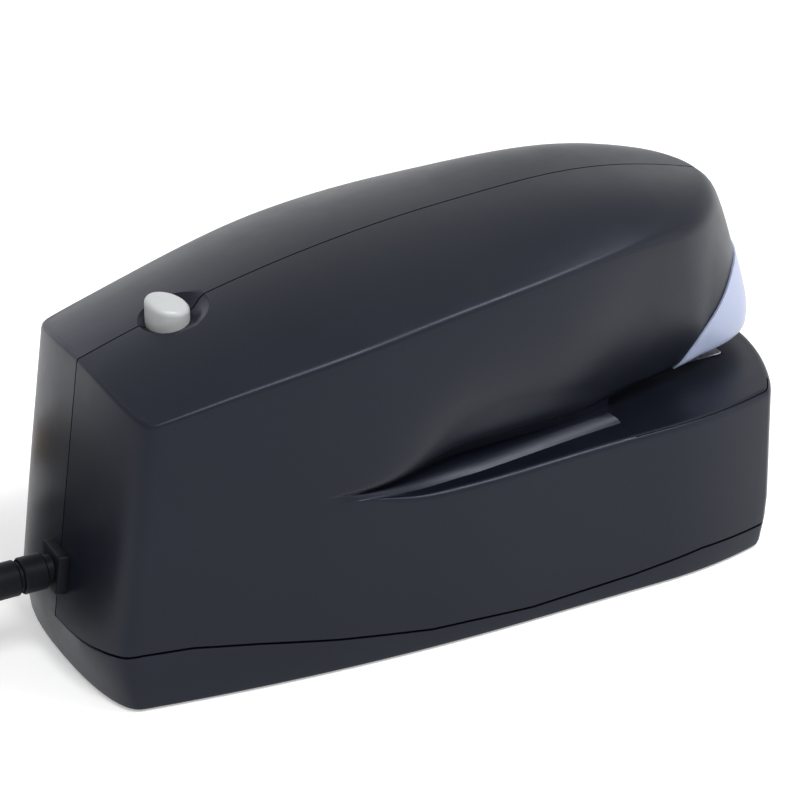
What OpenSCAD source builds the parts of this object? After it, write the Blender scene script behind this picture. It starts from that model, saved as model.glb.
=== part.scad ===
// Electric desk stapler with a mains cord.
// +X points to the nose, +Z up. The origin is under the middle of the housing, on the table.

/* [Housing] */
// Length of the housing, rear face to the front of the base
body_length = 191; // [184:1:200]
// Greatest width of the base
body_width = 79; // [76:1:86]
// Height of the crown above the table
body_height = 99.8; // [98:0.5:106]
// Width of the crown between its two edges
crown_width = 72; // [68:1:75]
// Rise of the crown above its edges
crown_rise = 9.6; // [8:0.2:11]
// Fall of the crown's ridge from its peak to the rear
crown_rear_drop = 21.9; // [18:0.5:23]
// Fall of the crown's ridge from its peak to the nose
crown_front_drop = 13.6; // [12:0.5:15]
// Thickness of the moulded walls
wall = 2.4; // [2:0.1:2.8]
// Height of the bottom edge above the table
foot_stand = 0.6; // [0.4:0.1:1]

/* [Paper slot] */
// Height of the crown above the deck
head_height = 56; // [54:0.2:58]
// Gap between the deck and the head
slot_gap = 4.4; // [4.3:0.1:5]
// Depth of the slot behind the front of the base
throat_depth = 53; // [48:1:56]
// Height of the ramp behind the side ledges
ramp_height = 2.1; // [1.5:0.1:2.4]

/* [Nose and magazine] */
// Half width of the nose
nose_half_width = 18.3; // [17.8:0.1:19]
// Wall of the silver nose
nose_wall = 1.8; // [1.4:0.1:2]
// Inner width of the staple channel
channel_inner = 14; // [13.6:0.1:14.4]
// Height of the staple channel
channel_height = 8.6; // [8.2:0.1:8.8]
// Sheet thickness of the channel
channel_sheet = 1; // [0.8:0.1:1.2]
// Width of a staple's crown
staple_crown = 12.7; // [12.2:0.1:12.9]
// Length of the staple strip
strip_length = 52; // [20:1:54]

/* [Release button] */
// Radius of the button
button_r = 5.7; // [5:0.1:6.2]
// Distance of the button from the rear face
button_from_rear = 32; // [30:0.5:34]
// Height of the button above its dish
button_proud = 3; // [3:0.1:3.6]
// Radius of the dish round the button
dish_r = 9; // [8:0.1:10]
// Depth of the dish below the crown
dish_depth = 2; // [1.6:0.1:2.4]

/* [Drive] */
// Outer radius of the solenoid's coil
coil_r = 14.5; // [12:0.5:15]
// Radius of the plunger
plunger_r = 5; // [4:0.1:5.4]
// Width of the drive arm
arm_width = 10; // [8:0.5:11]
// Radius of the arm's pivot pin
pivot_r = 3; // [2.5:0.1:3.4]
// Sheet thickness of the chassis plates
chassis_sheet = 1.5; // [1.2:0.1:1.8]
// Radial clearance of the running fits
fit_gap = 0.05; // [0.02:0.01:0.08]

/* [Cord] */
// Radius of the mains cord
cord_r = 3.1; // [2.6:0.1:3.2]
// Radius of the strain relief's boss
relief_r = 5; // [4.6:0.1:5.4]
// Height of the cord's exit above the table
relief_z = 26; // [24:0.5:28]

/* [Hidden] */
$fn = 48;

rear_x = -body_length / 2;
front_x = body_length / 2;
throat_x = front_x - throat_depth;
deck = body_height - head_height;
underside = deck + slot_gap;
nose_x = front_x;
black = [0.2, 0.21, 0.24];
steel = [0.72, 0.73, 0.75];
silver = [0.7, 0.76, 0.85];
rubber = [0.12, 0.12, 0.13];
light_grey = [0.8, 0.81, 0.82];
dark_grey = [0.3, 0.3, 0.32];
copper = [0.72, 0.42, 0.25];
green = [0.12, 0.4, 0.22];
brass = [0.8, 0.68, 0.38];

// ---- Places of the inner pieces ----
foot_x = body_length / 2 - 25.5;
foot_y = 22;
foot_r = 5;
foot_seat = 1.6;
floor_z = foot_stand + wall - 0.5;
nose_plane_x = front_x - 31.4;
nose_slope = 1.04;
nose_top_z = body_height - 19.8;
screw_head_r = 2.6;
screw_sink = 5;
screw_bite = 10;
anvil_x0 = front_x - 33.5;
anvil_x1 = front_x - 11.3;
anvil_half = 11.7;
anvil_sheet = 1.2;
relief_neck_r = 4.6;
relief_in_x = rear_x + 6.5;
relief_out_x = rear_x - 37;
plate_in = 12.6;
plates_z = deck - 15.8;
post_r = 3.2;
chassis_posts = [rear_x + 71.5, front_x - 13.5];
board_x0 = rear_x + 75.5;
board_x1 = front_x - 21.5;
board_z = deck - 27.8;
board_sheet = 1.6;
board_half = 24;
board_posts = [board_x0 + 8, board_x1 - 8];
board_post_y = board_half - 4;
solenoid_x = rear_x + 43;
solenoid_z = 12;
frame_front = solenoid_x + coil_r + 3.6;
frame_rear = solenoid_x - coil_r - 3.5;
pivot_x = rear_x + 83;
pivot_z = body_height - 25.2;
tip_x = front_x - 19.5;
tip_z = pivot_z + 7.5;
arm_rear_x = solenoid_x - 5;
arm_rear_z = pivot_z - 7;
frame_top = arm_rear_z - 7.6;
seat_x = front_x - 75.5;
seat_z = pivot_z - 8.6;
arm_bottom_at_seat = pivot_z - 1;
hammer_x0 = tip_x - 2.7;
hammer_half = 7;
guide_top = tip_z - 3.7;
blade_x0 = hammer_x0 + 6;
blade_sheet = 0.6;
blade_x = blade_x0 + blade_sheet / 2;
blade_half = 6.3;
blade_z = underside + 12;
channel_half = channel_inner / 2 + channel_sheet;
channel_z = underside + 2.7;
channel_top = channel_z + channel_height;
guide_bottom = channel_top + 2.5;
channel_x1 = blade_x0 - 0.2;
rail_half = staple_crown / 2 - 0.75;
rail_z = channel_z + 2 * channel_sheet;
rail_top = channel_z + channel_height - 2.5;
staple_leg = 5;
strip_x1 = channel_x1;
rod_r = 1.2;
rod_z = rail_z + 2.4;
lever_y0 = channel_half + 0.2;
lever_y1 = lever_y0 + 2;
stud_x = solenoid_x + 8.5;
stud_z = pivot_z + 0.4;
lever_top_z = stud_z + 3.9;
catch_x = stud_x + 19;
channel_x0 = catch_x + 3;
stud_r = 2;
bracket_x0 = frame_rear + 0.5;
bracket_z = stud_z - 1.5;
trigger_x = throat_x + 3.5;
trigger_z = deck - 9.8;
trigger_half = 3;
trigger_x0 = throat_x + 0.2;
trigger_x1 = throat_x + 5.9;
trigger_pin_r = 1.5;
terminal_x = rear_x + 11.5;
terminal_z = relief_z - 5;

// ---- The outer form, as functions of the place along the housing ----
crown_x = front_x - 66.5;
edge_x = rear_x + 72.5;
wide_x = front_x - 83;
edge_taper = 21.4;
rear_narrowing = 10.6;
front_narrowing = 9;
function sq(v) = v * v;
function mix(a, b, t) = a + (b - a) * t;
function clamp01(t) = min(1, max(0, t));
function ease(a, b, v) = let (t = clamp01((v - a) / (b - a))) t * t * (3 - 2 * t);
// Height of the ridge
function ridge(x) = body_height - (x < crown_x
    ? crown_rear_drop * sq((crown_x - x) / (crown_x - rear_x))
    : crown_front_drop * sq((x - crown_x) / (front_x - crown_x)));
// Half width of the crown at its edges
function edge_half(x) = crown_width / 2 - edge_taper * sq((x - edge_x) / (front_x - edge_x));
// Height of the ridge above the crown's edges
rise_x = rear_x + 60.5;
function crown(x) = crown_rise
    * (1 - sq((x - rise_x) / (x < rise_x ? rise_x - rear_x + 33.5 : front_x - rise_x - 4.5)));
// Height of the crown's surface
function top_z(x, y) = ridge(x) - crown(x) * sq(y / edge_half(x));
// Half width of the base
function base_half(x, z) = body_width / 2 - 1.2 * (z - foot_stand) / deck * (x - rear_x) / body_length
    - (x < wide_x ? rear_narrowing * sq((wide_x - x) / (wide_x - rear_x)) : 0)
    - (x > bow_x ? front_narrowing * sq((x - bow_x) / (front_x - bow_x)) : 0);
bow_x = front_x - 43.5;
// Rear tip of the side groove, and where the head's lower edge is highest
groove_rear = front_x - 137.5;
groove_high = front_x - 88.5;
// Height and half width of the head's lower edge
function lower_z(x) = deck + ramp_height
    + (x < groove_high ? 12.5 * ease(groove_rear - 2, groove_high, x)
        : mix(12.5, slot_gap - ramp_height + 1.6, ease(groove_high, front_x - 37.5, x)));
function lower_half(x) = max(nose_half_width, edge_half(x) + 0.3
    - 5.5 * ease(front_x - 75.5, front_x - 43.5, x));
// How far the side groove has opened, from 0 at its rear tip to 1
function groove(x) = ease(groove_rear, groove_rear + 42, x);
// Front of the head, front of the base and rear face, on the centre line
head_front_z = deck + 10.2;
function head_front(z) = nose_x - 0.0102 * sq(z - head_front_z);
function base_front(z) = front_x - 3 * sq(max(0, 14 - z) / 14);
function rear_face(z) = rear_x + rear_slope * abs(z - 13);
rear_slope = 0.131;

// A plan outline has rear stations, side stations and front stations.
rear_steps = 7;
side_steps = 18;
front_steps = 10;
stations = rear_steps + side_steps + front_steps;
rear_power = 2.8;
rear_corner = 6;
rear_bow = 1.2;
function plan_x(i, xr, xf, lf, bow, n) =
    i <= rear_steps
        ? let (a = 90 * i / rear_steps, s = pow(sin(a), 2 / rear_power))
            xr + rear_bow * s * s + rear_corner * (1 - pow(max(0, cos(a)), 2 / rear_power))
    : i <= rear_steps + side_steps
        ? mix(xr + rear_bow + rear_corner, xf - bow - lf, (i - rear_steps) / side_steps)
    : let (a = 90 * (stations - i) / front_steps, s = pow(sin(a), 2 / n))
        xf - bow * s * s - lf * (1 - pow(max(0, cos(a)), 2 / n));
function plan_y(i, n) =
    i <= rear_steps ? pow(sin(90 * i / rear_steps), 2 / rear_power)
    : i <= rear_steps + side_steps ? 1
    : pow(max(0, sin(90 * (stations - i) / front_steps)), 2 / n);

// Rows of the form from the bottom to the ridge. Each is [kind, value].
base_rows = [[0, 0.5], [1.2, 0], [12.4, 0], [26, 0], [deck - foot_stand - 1.4, 0],
    [deck - foot_stand - 0.4, 0.4], [deck - foot_stand, 1.4]];
base_front_bow = 8;
base_front_corner = 4;
function base_point(i, row, t) =
    let (z = row[0] + foot_stand,
        x0 = plan_x(i, rear_face(z), base_front(z), base_front_corner, base_front_bow, 2.5),
        g = z > 30 ? groove(x0) : 1, inset = row[1] * g + t,
        x = plan_x(i, rear_face(z) + inset, base_front(z) - inset, base_front_corner, base_front_bow, 2.5))
    [x, (base_half(x, z) - inset) * plan_y(i, 2.5),
        row[0] < 1 ? z + t : row[0] > 30 ? z - t * g : z];
// Points of the head, at fraction g between its lower edge and the crown's edge
function edge_round(x) = mix(1.4, 5, ease(front_x - 65.5, front_x - 9.5, x));
function head_x(i, z, t) = plan_x(i, rear_face(z) + t, head_front(z) - t, 26, 0, head_n(z));
function head_n(z) = mix(2, 2.1, ease(body_height - 29.8, body_height - 7.8, z));
function head_point(i, g, t) =
    let (z0 = mix(lower_z(head_x(i, deck + 11.2, 0)), body_height - 11.8, g), x0 = head_x(i, z0, 0),
        top = top_z(x0, edge_half(x0) * plan_y(i, 2.1)) - edge_round(x0) - t,
        z = mix(lower_z(x0) + t * groove(x0), top, g), x = head_x(i, z, t),
        wall_half = groove(x) < 1 ? mix(base_half(x, deck), edge_half(x), g) : edge_half(x),
        half = mix(wall_half, mix(lower_half(x), edge_half(x), g), groove(x))
            + 0.6 * sin(180 * g) * groove(x))
    [x, (half - t) * plan_y(i, head_n(z)), z];
// Points of the side groove, k = 0 at the ramp's foot to 4 half way round the head's lower edge
function groove_point(i, k, t) =
    let (zs = [deck, deck + ramp_height, deck + ramp_height + 0.1, underside, underside + 1.6],
        xr = rear_face(deck + 0.3 + 0.42 * k) + t,
        x = k < 2
            ? plan_x(i, xr, nose_x - 2 - t, mix(4, 27, k / 2), mix(base_front_bow, 0, k / 2), 2.2)
            : plan_x(i, xr, nose_x - (k == 3 ? 2 : k == 4 ? 0.5 : 2.2) - t, 27, 0, 2),
        low = lower_half(x),
        inner = min(low - 1.6, 27.6),
        ys = [30.3, 28.1, inner - 0.3, inner, mix(inner, low, 0.72)],
        ts = [[0.4, -1], [1, -0.4], [1, 0], [1, 0.7], [1, 0.6]],
        wall_y = base_half(x, deck) - t,
        wall_z = deck + 0.3 + 0.42 * k,
        g = groove(x))
    [x, mix(wall_y, ys[k] - ts[k][0] * t, g) * plan_y(i, k < 2 ? 2.2 : 2),
        mix(wall_z, zs[k] + ts[k][1] * t, g)];
function rounding_point(i, t) =
    let (p = head_point(i, 1, t), r = edge_round(p[0]), s = plan_y(i, 2.1))
    [p[0] + (i <= rear_steps ? 0.3 * r : i > rear_steps + side_steps ? -0.3 * r * (1 - s) : 0),
        max(0, p[1] - 0.3 * r * s), p[2] + 0.7 * r];
function crown_point(i, f, t) =
    let (p = head_point(i, 1, t), r = edge_round(p[0]), s = plan_y(i, 2.1),
        x1 = p[0] + r * (1 - 0.5 * s) * (i <= rear_steps ? 1 : i > rear_steps + side_steps ? -1 : 0),
        x = mix(x1, crown_x + (x1 - crown_x) * 0.9, 1 - f),
        y = max(0, p[1] - r * s) * f)
    [x, y, top_z(x, y) - t * 1.04];

crown_fractions = [1, 0.85, 0.68, 0.5, 0.33, 0.16];
head_fractions = [0, 0.14, 0.3, 0.5, 0.7, 0.87, 1];
function ring(r, t) =
    let (nb = len(base_rows), nh = len(head_fractions))
    [for (i = [0 : stations])
        r < nb ? base_point(i, base_rows[r], t)
        : r < nb + 5 ? groove_point(i, r - nb, t)
        : r < nb + 5 + nh ? head_point(i, head_fractions[r - nb - 5], t)
        : r == nb + 5 + nh ? rounding_point(i, t)
        : crown_point(i, crown_fractions[r - nb - 6 - nh], t)];
row_count = len(base_rows) + 5 + len(head_fractions) + 1 + len(crown_fractions);
function mirrored(row) = concat([for (p = row) [p[0], -p[1], p[2]]],
    [for (i = [stations - 1 : -1 : 1]) row[i]]);

// The closed outer form, moved inwards by t
module form(t) {
    rows = [for (r = [0 : row_count - 1]) ring(r, t)];
    n = 2 * stations;
    keel = [for (p = rows[0]) [p[0], 0, p[2]]];
    spine = [for (i = [0 : stations]) crown_point(i, 0, t)];
    points = concat([for (row = rows) each mirrored(row)], keel, spine);
    k0 = row_count * n;
    s0 = k0 + stations + 1;
    last = (row_count - 1) * n;
    sides = [for (r = [0 : row_count - 2], i = [0 : n - 1])
        let (j = (i + 1) % n, a = r * n, b = a + n) each [[a + i, b + i, b + j], [a + i, b + j, a + j]]];
    near_caps = [for (i = [0 : stations - 1])
        each [[i, i + 1, k0 + i + 1], [i, k0 + i + 1, k0 + i],
            [last + i, s0 + i, s0 + i + 1], [last + i, s0 + i + 1, last + i + 1]]];
    far_caps = [for (i = [0 : stations - 1])
        let (a = (n - i) % n, b = n - i - 1)
        each [[a, k0 + i, k0 + i + 1], [a, k0 + i + 1, b],
            [last + a, s0 + i + 1, s0 + i], [last + a, last + b, s0 + i + 1]]];
    polyhedron(points, concat(sides, near_caps, far_caps), convexity = 8);
}

// ---- Shared shapes ----
// A round bar along X, Y or Z
module bar_x(r, x0, x1, y, z) translate([x0, y, z]) rotate([0, 90, 0]) cylinder(r = r, h = x1 - x0);
module bar_y(r, x, y0, y1, z) translate([x, y0, z]) rotate([-90, 0, 0]) cylinder(r = r, h = y1 - y0);
module bar_z(r, x, y, z0, z1) translate([x, y, z0]) cylinder(r = r, h = z1 - z0);
// A block given by its two corners
module block(a, b) translate(a) cube(b - a);
// A flat plate with a side outline of [x, z] points
module side_plate(points, y0, y1)
    translate([0, y1, 0]) rotate([90, 0, 0]) linear_extrude(y1 - y0) polygon(points);
// A coil spring along Z, its wire swept as a tube
spring_sides = 6;
spring_steps = 14;
module coil_spring(r, wire_r, turns, length) {
    n = turns * spring_steps;
    points = concat([for (i = [0 : n], k = [0 : spring_sides - 1])
            let (a = 360 * i / spring_steps, b = 360 * k / spring_sides, rr = r + wire_r * cos(b))
            [rr * cos(a), rr * sin(a), wire_r + (length - 2 * wire_r) * i / n + wire_r * sin(b)]]);
    sides = [for (i = [0 : n - 1], k = [0 : spring_sides - 1])
        let (a = i * spring_sides, b = a + spring_sides, m = (k + 1) % spring_sides)
        each [[a + k, b + k, b + m], [a + k, b + m, a + m]]];
    start = [for (k = [0 : spring_sides - 1]) k];
    end = [for (k = [spring_sides - 1 : -1 : 0]) n * spring_sides + k];
    polyhedron(points, concat(sides, [start, end]), convexity = 10);
}

// ---- Housing ----
seam = [[rear_x - 0.5, 13.1], [rear_x + 1, 14.6], [rear_x + 2, 16.1], [rear_x + 3.5, 17.6],
    [rear_x + 6, 17.6], [rear_x + 9, 16.9], [rear_x + 21, 15.9], [rear_x + 36.5, 13.6],
    [rear_x + 57, 9.9], [rear_x + 81.5, 6.5], [rear_x + 91.5, 6.1], [front_x - 82.1, 5.1], [throat_x - 0.5, 6],
    [front_x - 33.1, 7.6],
    [front_x - 12, 6.8]];
// What the near cover takes: the near side above the seam, less the deck
module near_region() {
    difference() {
        side_plate(concat(seam, [[front_x + 9, 6.5], [front_x + 9, 130], [rear_x - 9, 130],
            [rear_x - 9, 13.1]]), -body_width, 0);
        intersection() {
            form(0.9 * wall);
            block([throat_x - wall - 1, -body_width, deck - wall - 0.01], [front_x + 9, 1, deck + 2]);
        }
    }
}
// The nose is in front of a sloping plane, moved forwards by gap
function nose_plane(z) = nose_plane_x + (z - underside) / nose_slope;
module nose_region(gap, z0) side_plate([[nose_plane(z0) + gap, z0], [nose_plane(nose_top_z) + gap, nose_top_z],
    [front_x + 20, nose_top_z], [front_x + 20, z0]], -40, 40);
button_x = rear_x + button_from_rear;
button_slope = -atan((ridge(button_x + 5) - ridge(button_x - 5)) / 10);
dish_z = ridge(button_x) - dish_depth;
pad_z = dish_z - 2.5;
button_hole_r = button_r + 0.25;
head_screw_x = front_x - 45.5;
screw_places = [[rear_x + 10.7, 38], [rear_x + 17, body_height - 30.8], [front_x - 23.5, board_z + 7.6],
    [head_screw_x, ridge(head_screw_x) - 10.6]];
screw_r = 1.3;
boss_r = 3.1;
module shell() {
    difference() {
        union() {
            difference() {
                form(0);
                form(wall);
            }
            intersection() {
                form(0);
                block([throat_x - wall, -body_width, deck - wall], [front_x + 9, body_width, underside + wall]);
            }
            intersection() {
                form(wall / 2);
                bar_z(dish_r + 2, button_x, 0, pad_z, pad_z + 20);
            }
        }
        block([throat_x, -body_width, deck], [front_x + 9, body_width, underside]);
        nose_region(0, underside - 1);
        translate([button_x, 0, dish_z]) rotate([0, button_slope, 0]) cylinder(r = dish_r, h = 20);
        bar_z(button_hole_r, button_x, 0, pad_z - 9, pad_z + 20);
        bar_x(relief_neck_r + 0.15, rear_x - 9, rear_x + 9, 0, relief_z);
        block([trigger_x0, -trigger_half - 0.6, deck - 9], [trigger_x1, trigger_half + 0.6, deck + 1]);
        block([anvil_x0 - 0.1, -anvil_half - 0.1, deck - anvil_sheet],
            [anvil_x1 + 0.1, anvil_half + 0.1, deck + 1]);
        for (x = [-foot_x, foot_x], y = [-foot_y, foot_y])
            bar_z(foot_r + 0.1, x, y, foot_stand - 1, foot_stand + foot_seat);
    }
}
// A screw boss from the side wall to the middle, side = 1 on the far side and -1 on the near side
module boss(place, side) {
    outer = side * 40;
    intersection() {
        form(0.6);
        union() {
            hull() {
                bar_y(boss_r, place[0], min(0, side * 20), max(0, side * 20), place[1]);
                bar_y(boss_r + 0.8, place[0], min(outer, outer - side), max(outer, outer - side), place[1]);
            }
            hull() {
                block([place[0] - 0.8, min(side * 16, side * 17), place[1] - boss_r],
                    [place[0] + 0.8, max(side * 16, side * 17), place[1]]);
                block([place[0] - 0.8, min(outer, outer - side), place[1] - boss_r - 4],
                    [place[0] + 0.8, max(outer, outer - side), place[1]]);
            }
        }
    }
}
// Where the side wall is, at a screw
function wall_y(place) = (place[1] > deck ? min(edge_half(place[0]), base_half(place[0], deck))
    : base_half(place[0], place[1])) * (place[0] > 70 ? 0.8 : place[0] < rear_x + 14 ? 0.94 : 1);
module main_housing() color(black) union() {
    difference() {
        union() {
            difference() {
                shell();
                near_region();
            }
            for (p = screw_places) boss(p, 1);
            for (p = chassis_posts, s = [-1, 1])
                bar_z(post_r, p, s * (plate_in + chassis_sheet / 2), floor_z, plates_z);
            for (p = board_posts, s = [-1, 1]) bar_z(post_r, p, s * board_post_y, floor_z, board_z);
            for (x = [-1, 1], y = [-1, 1])
                bar_z(post_r, solenoid_x + x * 12, y * 11, floor_z, solenoid_z);
            block([terminal_x, -7, floor_z], [terminal_x + 8, 7, terminal_z]);
        }
        for (p = screw_places) {
            bar_y(screw_r + 0.1, p[0], -1, 60, p[1]);
            bar_y(screw_head_r + 0.3, p[0], wall_y(p) - screw_sink, 60, p[1]);
        }
    }
}
module near_cover() color(black) difference() {
    union() {
        intersection() {
            shell();
            near_region();
        }
        for (p = screw_places) boss(p, -1);
    }
    for (p = screw_places) bar_y(screw_r + 0.02, p[0], -screw_bite, 1, p[1]);
}
module housing_screws() color(steel) for (p = screw_places) difference() {
    union() {
        bar_y(screw_r, p[0], -screw_bite + 0.4, wall_y(p) - screw_sink + 1, p[1]);
        bar_y(screw_head_r, p[0], wall_y(p) - screw_sink, wall_y(p) - screw_sink + 2, p[1]);
    }
    block([p[0] - 2, wall_y(p) - screw_sink + 1, p[1] - 0.4],
        [p[0] + 2, wall_y(p) - screw_sink + 3, p[1] + 0.4]);
}
module feet() color(rubber) for (x = [-foot_x, foot_x], y = [-foot_y, foot_y])
    bar_z(foot_r, x, y, 0, foot_stand + foot_seat);
module anvil_plate() color(steel) difference() {
    block([anvil_x0, -anvil_half, deck - anvil_sheet], [anvil_x1, anvil_half, deck + 0.2]);
    for (s = [-1, 1]) {
        block([blade_x - 0.8, min(s * 0.8, s * 4), deck - 0.5],
            [blade_x + 0.8, max(s * 0.8, s * 4), deck + 1]);
        block([blade_x - 0.8, min(s * 3.9, s * 7), deck - 0.25],
            [blade_x + 0.8, max(s * 3.9, s * 7), deck + 1]);
    }
}

// ---- Release button and latch ----
module release_button() color(light_grey) union() {
    translate([button_x, 0, 0]) rotate_extrude() polygon([[0, pad_z - 2], [button_r + 1.3, pad_z - 2],
        [button_r + 1.3, pad_z - 0.2], [button_r, pad_z - 0.2], [button_r, dish_z + button_proud - 1.2],
        [button_r - 0.35, dish_z + button_proud - 0.5], [button_r - 1.2, dish_z + button_proud],
        [button_r - 3, dish_z + button_proud + 0.3], [0, dish_z + button_proud + 0.4]]);
    block([button_x - 3.3, 3.8, lever_top_z + 0.3], [button_x - 1, lever_y1 + 1.8, pad_z - 1.9]);
}
module release_lever() color(steel) difference() {
    side_plate([[button_x - 3.9, lever_top_z - 2.3], [button_x - 3.9, lever_top_z], [stud_x, lever_top_z + 0.7],
        [stud_x + 6, stud_z + 2], [catch_x + 8, channel_top + 5], [catch_x + 8.2, channel_top + 0.7],
        [catch_x + 5.4, channel_top + 0.7], [catch_x + 5.2, channel_top + 4], [stud_x + 3, stud_z - 3.2],
        [stud_x - 4, stud_z - 2.7]], lever_y0, lever_y1);
    bar_y(stud_r + fit_gap, stud_x, lever_y0 - 1, lever_y1 + 1, stud_z);
}
module lever_stud() color(steel) union() {
    bar_y(stud_r, stud_x, lever_y0 - 0.9, plate_in + chassis_sheet + 0.6, stud_z);
    bar_y(stud_r + 1, stud_x, lever_y0 - 1.3, lever_y0 - 0.2, stud_z);
    bar_y(stud_r + 1, stud_x, lever_y1 + 0.2, plate_in, stud_z);
}
module latch_bracket() color(steel) union() {
    block([bracket_x0, -8, frame_top], [bracket_x0 + 1.5, lever_y0 - 0.5, bracket_z]);
    block([bracket_x0, -8, bracket_z - 1.5], [button_x + 5, lever_y0 - 0.5, bracket_z]);
}
module button_spring() color(steel) translate([button_x, 0, bracket_z])
    coil_spring(3, 0.35, 5, pad_z - 2 - bracket_z);

// ---- Chassis ----
plate_top = pivot_z + 8.4;
plate_points = [[frame_front, plates_z], [front_x - 9.5, plates_z], [front_x - 9.5, deck - 2.8],
    [throat_x - 3, deck - 2.8], [throat_x - 3, underside + 2.8], [tip_x - 2, underside + 2.8],
    [tip_x - 2, guide_bottom], [tip_x + 1.5, guide_bottom], [tip_x + 1.5, guide_top - 0.4],
    [tip_x - 16, plate_top], [pivot_x + 6.5, plate_top], [solenoid_x + 2.5, plate_top - 2],
    [solenoid_x + 2.5, frame_top + 3], [frame_front, frame_top + 3]];
spacer_z = deck - 9.8;
spacer_places = [[pivot_x - 7.5, spacer_z], [seat_x + 4, spacer_z], [front_x - 15.5, spacer_z]];
module chassis_plates() color(steel) for (s = [-1, 1]) difference() {
    side_plate(plate_points, s > 0 ? plate_in : -plate_in - chassis_sheet,
        s > 0 ? plate_in + chassis_sheet : -plate_in);
    bar_y(pivot_r + 0.02, pivot_x, -30, 30, pivot_z);
    for (p = spacer_places) bar_y(1.52, p[0], -30, 30, p[1]);
    bar_y(1.52, seat_x, -30, 30, seat_z - 1.5);
    bar_y(trigger_pin_r + 0.02, trigger_x, -30, 30, trigger_z);
    if (s > 0) bar_y(stud_r + 0.02, stud_x, 0, 30, stud_z);
}
module chassis_spacers() color(steel) union() {
    for (p = spacer_places) difference() {
        bar_y(3.2, p[0], -plate_in, plate_in, p[1]);
        for (s = [-1, 1]) bar_y(1.52, p[0], s > 0 ? plate_in - 8 : -30, s > 0 ? 30 : -plate_in + 8, p[1]);
    }
    difference() {
        block([seat_x - 4, -plate_in, seat_z - 3], [seat_x + 4, plate_in, seat_z]);
        for (s = [-1, 1])
            bar_y(1.52, seat_x, s > 0 ? plate_in - 5 : -30, s > 0 ? 30 : -plate_in + 5, seat_z - 1.5);
    }
}
module chassis_screw(x, z, depth) for (s = [-1, 1]) union() {
    bar_y(1.5, x, s > 0 ? plate_in - depth : -plate_in - chassis_sheet,
        s > 0 ? plate_in + chassis_sheet : -plate_in + depth, z);
    bar_y(2.8, x, s > 0 ? plate_in + chassis_sheet : -plate_in - chassis_sheet - 1.6,
        s > 0 ? plate_in + chassis_sheet + 1.6 : -plate_in - chassis_sheet, z);
}
module chassis_screws() color(steel) union() {
    for (p = spacer_places) chassis_screw(p[0], p[1], 7.5);
    chassis_screw(seat_x, seat_z - 1.5, 4.5);
}
module arm_pivot_pin() color(steel) union() {
    bar_y(pivot_r, pivot_x, -plate_in - chassis_sheet, plate_in + chassis_sheet + 1, pivot_z);
    bar_y(pivot_r + 1.5, pivot_x, -plate_in - chassis_sheet - 1.5, -plate_in - chassis_sheet, pivot_z);
}

// ---- Drive ----
module drive_arm() color(steel) difference() {
    union() {
        side_plate([[arm_rear_x, arm_rear_z], [solenoid_x + 4.5, arm_rear_z], [pivot_x - 6, pivot_z - 5],
            [pivot_x + 10, pivot_z - 4.2], [seat_x - 5, arm_bottom_at_seat],
            [seat_x + 5, arm_bottom_at_seat], [tip_x - 5, tip_z - 3.1],
            [tip_x, tip_z - 2.8], [tip_x, tip_z + 2.8], [tip_x - 5, tip_z + 2.3], [seat_x, pivot_z + 6.2],
            [pivot_x, pivot_z + 6], [pivot_x - 14, pivot_z + 4.4], [arm_rear_x, arm_rear_z + 4.4]],
            -arm_width / 2, arm_width / 2);
        bar_y(2.95, tip_x, -arm_width / 2, arm_width / 2, tip_z);
        bar_y(5.5, pivot_x, -plate_in + 0.3, plate_in - 0.3, pivot_z);
    }
    bar_y(pivot_r + fit_gap, pivot_x, -plate_in, plate_in, pivot_z);
}
module hammer() color(steel) difference() {
    block([hammer_x0, -hammer_half, tip_z - 5.7], [blade_x0, hammer_half, tip_z + 5.5]);
    block([hammer_x0 - 1, -arm_width / 2 - 0.3, tip_z - 3.3], [blade_x0 + 1, arm_width / 2 + 0.3, tip_z + 3.3]);
}
module driver_blade() color(steel)
    block([blade_x0, -blade_half, blade_z], [blade_x0 + blade_sheet, blade_half, tip_z - 4]);
module driver_guide() color(dark_grey) for (s = [-1, 1])
    block([hammer_x0, min(s * (hammer_half + 0.2), s * plate_in), guide_bottom],
        [blade_x0, max(s * (hammer_half + 0.2), s * plate_in), guide_top]);
module arm_spring() color(steel) translate([seat_x, 0, seat_z])
    coil_spring(3, 0.45, 3, arm_bottom_at_seat - seat_z);
module solenoid_frame() color(steel) difference() {
    union() {
        block([frame_rear, -17, solenoid_z], [frame_front - 0.1, 17, solenoid_z + 4]);
        block([frame_rear, -17, frame_top - 4], [frame_front - 0.1, 17, frame_top]);
        block([frame_rear, -17, solenoid_z + 3], [frame_rear + 3, 17, frame_top - 3]);
        block([frame_front - 3.1, -17, solenoid_z + 3], [frame_front - 0.1, 17, frame_top - 3]);
    }
    bar_z(plunger_r + 0.35, solenoid_x, 0, frame_top - 5, frame_top + 1);
}
module coil_bobbin() color(dark_grey) translate([solenoid_x, 0, 0]) difference() {
    union() {
        translate([0, 0, solenoid_z + 4]) cylinder(r = coil_r + 0.4, h = 1.6);
        translate([0, 0, frame_top - 5.6]) cylinder(r = coil_r + 0.4, h = 1.6);
        translate([0, 0, solenoid_z + 4]) cylinder(r = plunger_r + 1.5, h = frame_top - solenoid_z - 8);
    }
    translate([0, 0, solenoid_z + 3]) cylinder(r = plunger_r + 0.35, h = 60);
}
module solenoid_coil() color(copper) translate([solenoid_x, 0, solenoid_z + 5.6]) difference() {
    cylinder(r = coil_r, h = frame_top - solenoid_z - 11.2);
    translate([0, 0, -1]) cylinder(r = plunger_r + 1.5, h = 60);
}
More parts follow.
